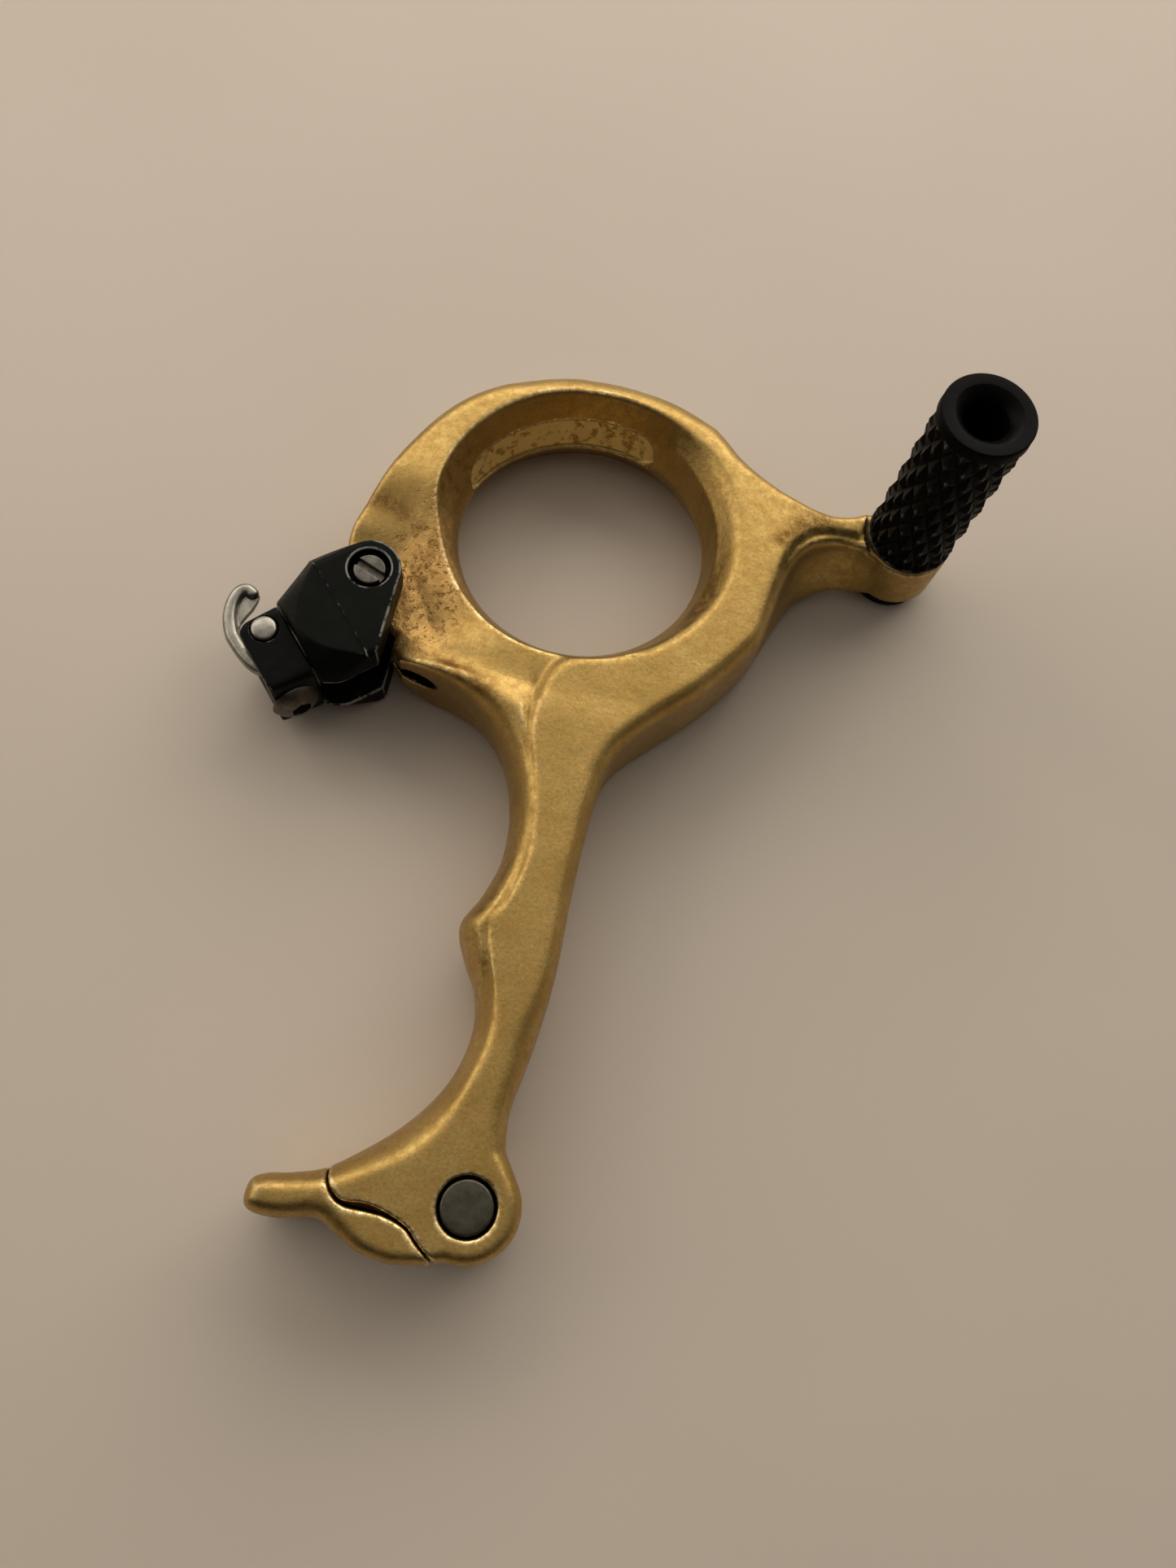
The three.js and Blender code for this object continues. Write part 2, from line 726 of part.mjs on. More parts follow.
function hookPin() {
  const bottom = MID - BLOCK.halfHeight + 0.2;
  const top = MID + BLOCK.halfHeight;
  const profile = [
    [0, bottom],
    [HOOK_PIN.shaftRadius, bottom],
    [HOOK_PIN.shaftRadius, top - 0.5],
    [HOOK_PIN.headRadius, top - 0.5],
    [HOOK_PIN.headRadius, top + 0.15],
    [HOOK_PIN.headRadius - 0.35, top + 0.4],
    [0, top + 0.5],
  ];
  const geometry = turned(profile, 28);
  geometry.rotateX(Math.PI / 2);
  geometry.translate(HOOK_PIN.x, HOOK_PIN.y, 0);
  return part('hook_pin', geometry, satinSteel());
}

function hookLockScrew() {
  const seat = HEAD.axisY + BLOCK.halfWidth + 0.1;
  const { headRadius, headHeight, shankRadius, shankLength } = LOCK_SCREW;
  const profile = [
    [0, -shankLength],
    [shankRadius, -shankLength],
    [shankRadius, 0],
    [headRadius, 0],
    [headRadius, 0.35],
    [headRadius * 0.86, 0.95],
    [headRadius * 0.6, headHeight - 0.12],
    [0, headHeight],
  ];
  const geometry = turned(profile, 36);
  geometry.translate(LOCK_SCREW.x, seat, MID);
  const socket = rodBetween([LOCK_SCREW.x, seat + 0.5, MID], [LOCK_SCREW.x, seat + 3, MID], 1.15, 6);
  return part('hook_lock_screw', toSolid(geometry).subtract(socket), darkSteel());
}

function hook() {
  const points = [
    [10.9, -6.9],
    [12.6, -7.2],
    [14.3, -6.2],
    [15.3, -4.0],
    [15.65, -1.2],
    [15.2, 1.4],
    [14.0, 2.9],
  ].map(([x, y]) => new THREE.Vector3(x, y, MID));
  const half = HOOK.plate / 2;
  const wire = toSolid(sweptRod(points, HOOK.wire, 20, 10));
  const hub = upright(HOOK.hub, MID - half, MID + half, HOOK_PIN.x, HOOK_PIN.y, 32);
  const webPlan = polygon([[12.2, 1.2], [13.6, -1.0], [15.2, 0.4], [14.6, 2.6], [13.6, 3.2]]);
  const web = prism(webPlan, MID - half + 0.1, MID + half - 0.1);
  const hole = upright(HOOK.hubHole, 0, THICKNESS, HOOK_PIN.x, HOOK_PIN.y, 24);
  const tip = new THREE.SphereGeometry(HOOK.wire, 12, 8);
  tip.translate(...points[0].toArray());
  return part('hook', cut(join(wire, hub, web, toSolid(tip)), hole), satinSteel());
}

// ---------------------------------------------------------------- assembly

const handle = new THREE.Group();
handle.add(
  handleBody(),
  pivotBushing(),
  halfMoon(),
  halfMoonSetScrew(),
  headTravelSetScrew(),
  thumbBarrel(),
  thumbBarrelScrew(),
  extensionHingePin(),
  detentBall(),
  detentSpring(),
);

const extension = new THREE.Group();
extension.add(littleFingerExtension());

const head = new THREE.Group();
head.position.set(PIVOT.x, PIVOT.y, 0);
head.rotation.z = radians(HEAD.direction);
head.add(
  headYoke(),
  pivotScrew(),
  thrustWasher('upper_thrust_washer', TONGUE.top + 0.1),
  thrustWasher('lower_thrust_washer', TONGUE.bottom - 0.4),
  searPlunger(),
  swivelWasher(),
  swivelRetainingRing(),
  hookBlock(),
  hookPin(),
  hookLockScrew(),
  hook(),
);

const assembly = new THREE.Group();
assembly.add(handle, extension, head);
assembly.updateMatrixWorld(true);
const bounds = new THREE.Box3().setFromObject(assembly, true);
const middle = bounds.getCenter(new THREE.Vector3());
assembly.position.set(-middle.x, -middle.y, -bounds.min.z);

export default assembly;
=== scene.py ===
# A brass hinge release aid lying on a table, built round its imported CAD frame.
#
# Shapes are signed fields in millimetres: negative inside, positive outside. Handle shapes
# are measured from the centre of the index-finger ring; head shapes are in the head's own
# frame, with its origin at the pivot, +X along the pull and +Z up.
import json
import math

import bpy
import numpy as np
from mathutils import Matrix, Vector


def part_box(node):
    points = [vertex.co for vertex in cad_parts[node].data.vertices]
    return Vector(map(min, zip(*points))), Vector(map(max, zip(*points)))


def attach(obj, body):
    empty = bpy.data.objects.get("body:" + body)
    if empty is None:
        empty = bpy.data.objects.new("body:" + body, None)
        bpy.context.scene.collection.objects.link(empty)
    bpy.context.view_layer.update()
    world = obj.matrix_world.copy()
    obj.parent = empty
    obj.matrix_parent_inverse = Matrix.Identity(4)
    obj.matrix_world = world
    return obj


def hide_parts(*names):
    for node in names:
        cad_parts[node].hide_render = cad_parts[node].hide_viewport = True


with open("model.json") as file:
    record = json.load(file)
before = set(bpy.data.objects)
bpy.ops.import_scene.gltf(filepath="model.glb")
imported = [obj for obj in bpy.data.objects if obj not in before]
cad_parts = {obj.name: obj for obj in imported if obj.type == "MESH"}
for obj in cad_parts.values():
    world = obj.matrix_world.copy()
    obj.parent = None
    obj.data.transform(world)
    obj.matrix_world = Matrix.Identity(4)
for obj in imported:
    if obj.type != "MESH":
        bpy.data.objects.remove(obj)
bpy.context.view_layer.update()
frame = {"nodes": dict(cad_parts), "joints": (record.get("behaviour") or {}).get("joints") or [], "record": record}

MM = 0.001


# ---- places from the frame

def middle(node):
    low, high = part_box(node)
    return (low + high) / 2


def joint(name):
    return next(j for j in frame["joints"] if j["name"] == name)


def opening_middle(index):
    low, high = frame["record"]["physics"]["openings"][index]["box_m"]
    return (Vector(low) + Vector(high)) / 2


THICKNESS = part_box("handle_body")[1].z / MM
MID = THICKNESS / 2
RING_PLACE = Vector((opening_middle(0).x, opening_middle(0).y, 0))


def from_ring(point):
    place = (point - RING_PLACE) / MM
    return np.array((place.x, place.y))


PIVOT = from_ring(middle("pivot_screw"))
HINGE = from_ring(middle("extension_hinge_pin"))
PEG = from_ring(middle("thumb_barrel"))
PULL = Vector(joint("hook_block_swivel")["axis"]).normalized()

# Room left between a moving or separate piece and the brass round it.
CLEARANCE = 0.3
# The extension's eye, between the fork of the handle's foot.
EYE_BOTTOM, EYE_TOP = 3.8, 8.9
PIN_RADIUS = 2.45
BOSS_RADIUS = 5.0
# The seat under the thumb barrel, at the end of the arm.
SEAT_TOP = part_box("thumb_barrel")[0].z / MM - CLEARANCE
SEAT_UNDERSIDE = 2.0
SEAT_EDGE = PEG[0] - BOSS_RADIUS - 0.2
MOON_LOW, MOON_HIGH = (corner.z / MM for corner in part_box("half_moon"))
MOON_RADIUS = max(max(abs(from_ring(corner) - PIVOT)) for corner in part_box("half_moon"))

# Bore of the ring: radius at mid thickness and at the faces.
THROAT, CREASE = 14.0, 16.9


# ---- curves and flat fields

def arc(centre, radius, start, end, steps):
    angles = np.radians(np.linspace(start, end, steps + 1))
    return [(centre[0] + radius * math.cos(a), centre[1] + radius * math.sin(a)) for a in angles]


def smooth_line(points, per_span=5):
    """A uniform Catmull-Rom curve through the points."""
    p = np.array([points[0]] + list(points) + [points[-1]], float)
    curve = []
    for a, b, c, d in zip(p, p[1:], p[2:], p[3:]):
        for t in np.arange(per_span) / per_span:
            cubic = -a + 3 * b - 3 * c + d
            square = 2 * a - 5 * b + 4 * c - d
            curve.append(0.5 * (2 * b + (c - a) * t + square * t * t + cubic * t ** 3))
    curve.append(p[-1])
    return [tuple(q) for q in curve]


def line_distance(points, x, y, closed=False):
    """Distance to a line through the points."""
    ends = list(points[1:]) + ([points[0]] if closed else [])
    best = np.full(np.broadcast(x, y).shape, 1e9, np.float32)
    for (x0, y0), (x1, y1) in zip(points, ends):
        ex, ey = x1 - x0, y1 - y0
        length = ex * ex + ey * ey
        if length < 1e-9:
            continue
        t = np.clip(((x - x0) * ex + (y - y0) * ey) / length, 0, 1)
        best = np.minimum(best, (x - x0 - ex * t) ** 2 + (y - y0 - ey * t) ** 2)
    return np.sqrt(best)


def gap_from(place, x, y):
    return np.hypot(x - place[0], y - place[1])


def area_distance(points, x, y):
    """Signed distance to a closed outline, negative inside it."""
    inside = np.zeros(np.broadcast(x, y).shape, bool)
    for (x0, y0), (x1, y1) in zip(points, list(points[1:]) + [points[0]]):
        if y0 == y1:
            continue
        spans = (y0 > y) != (y1 > y)
        inside ^= spans & (x < x0 + (x1 - x0) * (y - y0) / (y1 - y0))
    return np.where(inside, -1, 1) * line_distance(points, x, y, closed=True)


def blend_of(samples, x, y):
    """Values given at a few places, spread smoothly over the plan."""
    spread = 22
    far_share = 1e-5
    total = 0
    weight = 0
    for sx, sy, *values in samples:
        gap = (x - sx) ** 2 + (y - sy) ** 2
        w = np.exp(-gap / spread) + far_share / (gap + 1)
        total = total + w * np.array(values, np.float32)[:, None, None]
        weight = weight + w
    return total / weight


def step(edge0, edge1, value):
    """Rises smoothly from 0 at the first edge to 1 at the second."""
    t = np.clip((value - edge0) / (edge1 - edge0), 0, 1)
    return t * t * (3 - 2 * t)


def soft_max(a, b, radius):
    """The larger of two fields, with the corner between them rounded."""
    overlap = np.maximum(radius - np.abs(a - b), 0) / radius
    return np.maximum(a, b) + overlap * overlap * radius * 0.25


def soft_min(a, b, radius):
    return -soft_max(-a, -b, radius)


def soft_max_all(radius, *fields):
    result = fields[0]
    for field in fields[1:]:
        result = soft_max(result, field, radius)
    return result


def slab(value, low, high):
    """Negative between two levels."""
    return np.maximum(low - value, value - high)


# ---- surface from a field

class Grid:
    """A box of sample points, in millimetres."""

    def __init__(self, low, high, cell):
        self.low = np.array(low, float)
        self.cell = cell
        counts = np.ceil((np.array(high, float) - self.low) / cell).astype(int) + 1
        axes = [self.low[k] + cell * np.arange(counts[k]) for k in range(3)]
        self.x = axes[0].astype(np.float32)[:, None, None]
        self.y = axes[1].astype(np.float32)[None, :, None]
        self.z = axes[2].astype(np.float32)[None, None, :]


CORNERS = [(i, j, k) for i in (0, 1) for j in (0, 1) for k in (0, 1)]
CELL_EDGES = [
    (a, b) for a in CORNERS for b in CORNERS
    if a < b and sum(np.abs(np.subtract(a, b))) == 1
]


def sample(field, places):
    """The field between its sample points, by linear steps."""
    limit = np.array(field.shape) - 2
    base = np.clip(np.floor(places).astype(int), 0, limit)
    t = np.clip(places - base, 0, 1)
    value = 0
    for i, j, k in CORNERS:
        share = np.prod(np.where((i, j, k), t, 1 - t), axis=1)
        value = value + share * field[base[:, 0] + i, base[:, 1] + j, base[:, 2] + k]
    return value


def slope(field, places):
    """The field's slope, over one cell about each place."""
    reach = 0.5
    parts = []
    for axis in np.eye(3) * reach:
        parts.append((sample(field, places + axis) - sample(field, places - axis)) / (2 * reach))
    return np.stack(parts, axis=1)


def settle(field, places, rounds=4):
    """Moves points onto the surface along the field's slope."""
    for _ in range(rounds):
        normal = slope(field, places)
        size = np.maximum((normal ** 2).sum(1), 1e-4)
        move = -(sample(field, places) / size)[:, None] * normal
        places = places + np.clip(move, -0.4, 0.4)
    return places


def surface(field, grid):
    """Vertices in millimetres and quads of the field's zero surface, by a surface net."""
    inside = field < 0
    n = np.array(field.shape)
    total = np.zeros(n - 1, np.int8)
    for i, j, k in CORNERS:
        total += inside[i:n[0] - 1 + i, j:n[1] - 1 + j, k:n[2] - 1 + k]
    cells = np.argwhere((total > 0) & (total < 8))
    points = np.zeros((len(cells), 3))
    crossings = np.zeros(len(cells))
    for a, b in CELL_EDGES:
        start = field[tuple((cells + a).T)]
        end = field[tuple((cells + b).T)]
        crossed = (start < 0) != (end < 0)
        t = np.where(crossed, start / np.where(crossed, start - end, 1), 0)
        points += crossed[:, None] * (np.array(a) + t[:, None] * np.subtract(b, a))
        crossings += crossed
    places = settle(field, cells + points / crossings[:, None])
    number = np.full(n - 1, -1, np.int64)
    number[tuple(cells.T)] = np.arange(len(cells))
    quads = []
    for axis in range(3):
        b, c = (axis + 1) % 3, (axis + 2) % 3
        before = [slice(None)] * 3
        after = [slice(None)] * 3
        before[axis], after[axis] = slice(0, -1), slice(1, None)
        edges = np.argwhere(inside[tuple(before)] != inside[tuple(after)])
        edges = edges[(edges[:, b] > 0) & (edges[:, c] > 0)]
        edges = edges[(edges[:, b] < n[b] - 1) & (edges[:, c] < n[c] - 1)]
        back_b, back_c = np.eye(3, dtype=int)[b], np.eye(3, dtype=int)[c]
        around = [edges, edges - back_b, edges - back_b - back_c, edges - back_c]
        quad = np.stack([number[tuple(cell.T)] for cell in around], axis=1)
        outward = inside[tuple(edges.T)]
        quad[~outward] = quad[~outward][:, ::-1]
        quads.append(quad)
    return grid.low + places * grid.cell, np.concatenate(quads)


def edge_sharpness(vertices, quads, size, rounds=3):
    """How convex (above 0) or hollow (below 0) the surface is at each vertex."""
    pairs = np.concatenate([quads[:, [k, (k + 1) % 4]] for k in range(4)])
    a, b = np.concatenate([pairs, pairs[:, ::-1]]).T
    count = np.maximum(np.bincount(a, minlength=len(vertices)), 1)

    def around(values):
        return np.bincount(a, weights=values[b], minlength=len(vertices)) / count

    diagonal = np.cross(
        vertices[quads[:, 2]] - vertices[quads[:, 0]],
        vertices[quads[:, 3]] - vertices[quads[:, 1]],
    )
    normal = np.zeros_like(vertices)
    for k in range(4):
        for axis in range(3):
            weights = diagonal[:, axis]
            normal[:, axis] += np.bincount(quads[:, k], weights=weights, minlength=len(vertices))
    normal /= np.maximum(np.linalg.norm(normal, axis=1), 1e-9)[:, None]
    mean = np.stack([around(vertices[:, axis]) for axis in range(3)], axis=1)
    bend = ((vertices - mean) * normal).sum(1) / size
    for _ in range(rounds):
        bend = 0.5 * bend + 0.5 * around(bend)
    return bend


# ---- handle and extension

RING_CENTRE = (0.3, -3.0)
RING_OUTER = 23.49
TONGUE_RADIUS = 4.2


def finger_side():
    """From the head round the finger grooves to the extension's tip and the foot."""
    return smooth_line([
        (-12.0, -21.3), (-8.4, -22.2), (-4.6, -24.4), (-1.2, -28.6), (0.7, -33.6),
        (1.2, -38.6), (0.3, -43.0), (-1.0, -46.4), (0.3, -49.4), (2.2, -52.4),
        (3.1, -56.4), (2.2, -61.4), (-0.9, -66.4), (-5.8, -71.2), (-9.0, -72.7),
        (-11.2, -73.3), (-12.5, -74.2), (-12.5, -76.2), (-11.2, -76.9), (-8.6, -76.7),
        (-5.9, -76.0), (-3.8, -76.8), (-1.4, -77.8), (1.6, -78.1),
    ])


def palm_side(arm_edge):
    """From the foot up the back of the grip and out along the arm."""
    return smooth_line([
        (9.2, -66.2), (8.7, -62.6), (9.4, -56.0), (9.6, -49.0), (9.1, -40.0),
        (9.0, -31.0), (9.8, -25.4), (13.2, -20.6), (17.6, -15.6), (21.6, -9.2),
        *arm_edge,
    ])


def ring_side():
    """The ring's far edge, then its left edge down to the head's tongue."""
    far = arc(RING_CENTRE, RING_OUTER, 60, 126, 40)
    left = smooth_line([
        far[-1], (-17.0, 12.5), (-19.5, 8.6), (-21.5, 4.2), (-23.1, -0.3), (-24.5, -4.8), (-24.9, -7.6),
    ])
    return [*far, *left]


def arm_far_side(ring_start):
    """From the thumb barrel's boss back along the arm to the ring."""
    return smooth_line([
        (29.6, 11.6), (27.0, 10.5), (24.0, 10.2), (21.0, 10.7), (18.0, 12.2), (15.4, 14.0),
        (13.6, 15.8), ring_start,
    ])[:-1]


def plan_outline(arm_edge, boss_start):
    """The whole plan, extension included, anticlockwise from the ring's right shoulder."""
    ring = ring_side()
    return [
        *ring,
        (-24.6, -10.0),
        *arc(PIVOT, TONGUE_RADIUS, 150, 300, 16),
        (-16.5, -17.8),
        (-16.4, -19.7),
        (-15.0, -20.8),
        *finger_side(),
        (5.0, -77.4),
        *arc(HINGE, BOSS_RADIUS, 262, 396, 30),
        *palm_side(arm_edge),
        *arc(PEG, BOSS_RADIUS, boss_start, 512, 44),
        *arm_far_side(ring[0]),
    ]


# The arm's lower wall leans: it stands further out at the bottom than at the top.
ARM_EDGE_LOW = [(24.2, -1.6), (25.8, 2.4), (28.2, 4.6), (31.2, 5.5)]
ARM_EDGE_HIGH = [
    (22.6, -4.6), (23.1, -0.9), (23.8, 2.3), (25.0, 4.6), (26.8, 6.3), (29.0, 7.4), (31.2, 7.7),
]
# The shallow groove that runs inside the arm's edge.
ARM_CREST = [
    (21.8, -6.2), (22.0, -2.2), (22.7, 1.6), (23.9, 4.6), (25.6, 6.7), (28.0, 8.0), (30.6, 8.6),
]

# Plan place, then how far the edge rounding reaches inwards and down.
ROUNDING = [
    (0, 20.5, 4.2, 4.8), (-10, 18.5, 4.0, 4.6), (-17, 13, 2.6, 3.0), (9, 19, 3.6, 4.2),
    (15, 14, 2.4, 2.8), (-20.5, 8, 1.5, 1.8), (-23, 2, 1.0, 1.2), (-24.6, -5, 0.8, 1.0),
    (23, -4, 1.2, 1.8), (18, -14, 1.7, 2.4), (11, -22, 1.7, 2.4),
    (20, 11.5, 1.6, 2.0), (24, 10.4, 1.2, 1.5), (28, 11, 0.9, 1.1), (27, 6, 0.7, 0.9), (36, 6, 0.5, 0.5),
    (41, 11, 0.5, 0.5), (9.5, -35, 1.7, 2.8), (9.5, -50, 1.7, 2.8), (9, -62, 1.7, 2.8),
    (12, -70, 1.4, 1.7), (10, -76, 1.2, 1.5), (3, -77, 1.2, 1.6), (0, -36, 3.7, 6.0),
    (-1, -29, 3.5, 6.0), (-1.2, -46, 2.7, 5.4), (2.6, -56, 3.0, 6.0), (0, -65, 3.6, 6.0),
    (-6, -71.5, 2.9, 4.2), (-10, -73, 1.6, 2.2), (-12.6, -75.2, 1.5, 3.0), (-8, -76.7, 1.1, 1.5),
    (-4, -24, 2.8, 4.6), (-8, -22.6, 1.6, 2.2), (-12.5, -21.3, 0.8, 1.0), (-16, -19.6, 0.7, 0.9),
]

# Left edge of the grip's flat.
FLAT_EDGE = [
    (10.3, -14.8), (6.5, -16.2), (3.2, -17.5), (1.95, -19.2), (1.3, -21.6), (1.05, -23.4), (1.1, -25.2),
    (1.6, -27.2), (2.4, -30.0), (3.3, -33.3), (4.4, -36.6), (4.1, -40.6), (3.2, -44.2), (2.3, -46.0),
    (3.1, -48.8), (4.4, -52.8), (4.8, -57.0), (4.0, -62.0), (2.0, -67.0),
]
# How far, and over what width, the face drops beside that edge at each height y.
GROOVE_Y = (-67, -62, -56, -50, -47, -45.8, -43, -38.5, -35.5, -33, -30.4, -27.2, -24.3, -22)
GROOVE_DROP = (0.0, 0.3, 0.5, 0.6, 0.45, 0.2, 0.55, 0.4, 0.25, 0.05, 0.2, 0.5, 0.75, 0.9)
GROOVE_WIDTH = (1.4, 1.4, 1.3, 1.2, 0.9, 0.7, 1.1, 1.8, 1.7, 0.7, 0.7, 1.3, 1.8, 2.7)

# Where the yoke's cheeks swing over the tongue.
CHEEK_CLEARANCE = [
    (-34, -8.2), (-19.0, -8.6), (-16.6, -10.6), (-13.4, -15.6), (-16.3, -17.0), (-16.4, -26.0), (-34, -26.0),
]
CHEEK_GAP = 0.1
# The lower facet on the ring's left, and the level of its floor.
RELIEF = [
    (-34, -30), (-34, -4.6), (-24.6, -5.4), (-21, -6.4), (-16.9, -6.4), (-12, -6), (0, -10),
]
RELIEF_FLOOR = 11.25
JUNCTION_DROP, JUNCTION_REACH = 1.15, 2.1
# Dents by the junction: place, depth, and how far they spread in x and y.
DENTS = [((-9.2, -19.4), 0.5, (10, 2.6)), ((0.1, -21.0), 0.35, (1.6, 4))]
# The chamfer round the right of the bore.
RIM_DROP, RIM_OUTER, RIM_INNER = 1.1, 18.3, 15.6


def left_of_flat():
    """The outline of everything left of the grip's flat."""
    return [*smooth_line(FLAT_EDGE, 4), (-12, -70), *RELIEF]


def dents(x, y):
    depth_here = 0
    for (dent_x, dent_y), depth, (spread_x, spread_y) in DENTS:
        gap = (x - dent_x) ** 2 / spread_x + (y - dent_y) ** 2 / spread_y
        depth_here = depth_here + depth * np.exp(-gap)
    return depth_here


def ring_face(x, y, beside):
    """Height round the ring: the flat, and on its left the facet that falls to the tongue."""
    inward = np.maximum(-beside, 0)
    by_facet = RELIEF_FLOOR + 0.42 * np.maximum(beside, 0) + 0.02 * inward
    by_flat = THICKNESS - JUNCTION_DROP * step(0, JUNCTION_REACH, inward)
    shelf = by_facet + (by_flat - by_facet) * step(-9, -4, x)
    cheek = area_distance(CHEEK_CLEARANCE, x, y)
    ramp = EYE_TOP + 0.42 * np.maximum(cheek - CHEEK_GAP, 0) ** 1.05
    face = soft_min(THICKNESS, soft_min(shelf, ramp, 1.6) - dents(x, y), 0.9)
    left_facet = np.maximum(-17.5 - x, 0) * step(-7.0, -3.0, y) * step(14, 6, y)
    return face - 0.15 * left_facet


def grip_face(y, beside):
    """Height of the grip, with the groove that runs beside its flat."""
    drop = np.interp(y, GROOVE_Y, GROOVE_DROP)
    across = np.maximum(-beside, 0) / np.interp(y, GROOVE_Y, GROOVE_WIDTH)
    return THICKNESS - drop * (step(0.0, 0.55, across) - 0.6 * step(0.5, 1.0, across))


def arm_face(x, y):
    """Height of the arm, which falls from the ring to the barrel's seat."""
    fall = THICKNESS - (THICKNESS - SEAT_TOP - 0.5) * step(SEAT_EDGE - 12.5, SEAT_EDGE + 0.8, x)
    from_crest = line_distance(smooth_line(ARM_CREST), x, y)
    return fall - 0.32 * np.exp(-(from_crest / 0.55) ** 2) * step(20.5, 23.5, x)


def face_height(x, y):
    """Height of the upper face over the plan."""
    beside = area_distance(left_of_flat(), x, y)
    by_ring = ring_face(x, y, beside)
    on_grip = step(-19.8, -23.5, y)
    face = by_ring + (grip_face(y, beside) - by_ring) * on_grip
    bearing = np.degrees(np.arctan2(y, x))
    rim_share = step(-64, -52, bearing) * step(62, 45, bearing)
    rim = THICKNESS - RIM_DROP * rim_share * step(RIM_OUTER, RIM_INNER, np.hypot(x, y))
    face = soft_min(np.minimum(face, rim), arm_face(x, y), 0.6)
    seat = gap_from(PEG, x, y) - BOSS_RADIUS - 0.35
    return np.where(seat < 0, np.minimum(face, SEAT_TOP), face)


def under_height(x, y):
    """Height of the lower face: the tongue's ramp mirrored, and the seat's underside."""
    cheek = area_distance(CHEEK_CLEARANCE, x, y)
    ramp = EYE_TOP + 0.9 * np.maximum(cheek - CHEEK_GAP, 0)
    rise = SEAT_UNDERSIDE * step(SEAT_EDGE - 8, SEAT_EDGE, x)
    return np.maximum(THICKNESS - soft_min(THICKNESS, ramp, 0.8), rise)


def rounded_plan(plan, top, bottom, reach, z):
    """An upright prism whose edges round over, by amounts that vary over the plan."""
    across, down = reach[0][..., None], reach[1][..., None]
    sideways = np.maximum((plan + across) / across, 0)
    height = np.maximum(z - top[..., None], bottom[..., None] - z)
    upwards = np.maximum((height + down) / down, 0)
    return (np.hypot(sideways, upwards) - 1) * np.minimum(across, down)


def bore_field(x, y, z):
    """Positive inside the ring's bore, which flares to both faces."""
    radius = np.hypot(x, y)
    bearing = np.degrees(np.arctan2(y, x))
    off = np.abs(z - MID)
    blunt, straight = 0.8, 3.6
    rise = (np.hypot(off, blunt) - blunt) / (math.hypot(MID, blunt) - blunt)
    single = THROAT + (CREASE - THROAT) * rise
    stepped = THROAT + 0.3 * off + 0.5 * np.maximum(off - straight, 0)
    share = step(75, 45, bearing) * step(-42, -18, bearing)
    return single + (stepped - single) * share - radius


POCKET_HEIGHT, POCKET_HALF = 6.7, 2.3
POCKET_START, POCKET_END = 68, 166
POCKET_RADIUS = 15.2


def pocket_field(x, y, z):
    """Negative inside the shallow arc pocket in the bore's far wall."""
    floor = POCKET_RADIUS + 0.27 * (z - POCKET_HEIGHT + POCKET_HALF)
    radius = np.hypot(x, y)
    bearing = np.degrees(np.arctan2(y, x))
    along = np.radians(np.abs(bearing - (POCKET_START + POCKET_END) / 2)) * THROAT
    straight = math.radians((POCKET_END - POCKET_START) / 2) * THROAT - POCKET_HALF
    shape = np.hypot(np.maximum(along - straight, 0), z - POCKET_HEIGHT) - POCKET_HALF
    return np.maximum(shape, np.maximum(radius - floor, THROAT - 4 - radius))


def rod_field(x, y, z, start, end, radius, end_radius=None):
    """A round-ended rod, tapered when it is given a second radius."""
    a, b = np.array(start, float), np.array(end, float)
    taper = 0 if end_radius is None else end_radius - radius
    axis = b - a
    along = (x - a[0]) * axis[0] + (y - a[1]) * axis[1] + (z - a[2]) * axis[2]
    t = np.clip(along / (axis @ axis), 0, 1)
    gap = (x - a[0] - axis[0] * t) ** 2 + (y - a[1] - axis[1] * t) ** 2 + (z - a[2] - axis[2] * t) ** 2
    return np.sqrt(gap) - radius - taper * t


# The curved seam between the handle's foot and the extension.
SEAM = [
    (-6.5, -69.6), (-6.15, -71.2), (-5.7, -72.6), (-4.75, -73.75), (-3.6, -74.25), (-1.5, -74.2),
    (0.4, -74.25), (2.3, -74.8), (3.4, -75.7), (4.4, -76.4), (5.3, -76.95),
]
SEAM_GAP = 0.1
FORK_REACH = 12
BUSHING_BORE = 2.5


def extension_side(x, y):
    """Negative on the extension's side of the seam."""
    return area_distance([*smooth_line(SEAM, 3), (5.6, -82), (-22, -82), (-22, -66)], x, y)


def whole_brass(grid):
    """Handle and extension as one body, before the seam parts them."""
    x, y, z = grid.x, grid.y, grid.z
    fx, fy = x[..., 0], y[..., 0]
    low = area_distance(plan_outline(ARM_EDGE_LOW, 246), fx, fy)
    high = area_distance(plan_outline(ARM_EDGE_HIGH, 232), fx, fy)
    plan = low[..., None] + (high - low)[..., None] * step(1.0, 8.6, z)
    top, bottom = face_height(fx, fy), under_height(fx, fy)
    whole = rounded_plan(plan, top, bottom, blend_of(ROUNDING, fx, fy), z)
    whole = soft_max(whole, bore_field(x, y, z), 0.25)
    return soft_max(whole, -pocket_field(x, y, z), 0.2)


def screw_hole(x, y, z):
    """The threaded hole that bears on the half moon."""
    angle = math.radians(-48)
    start = (PIVOT[0] + 4.4 * math.cos(angle), PIVOT[1] + 4.4 * math.sin(angle), MID)
    end = (PIVOT[0] + 15 * math.cos(angle), PIVOT[1] + 15 * math.sin(angle), MID)
    return rod_field(x, y, z, start, end, 1.35)


def travel_hole(x, y, z):
    """The threaded hole of the screw that stops the head's travel."""
    return rod_field(x, y, z, (-21.6, -6.6, MID), (-29, -6.6, MID), 1.2)


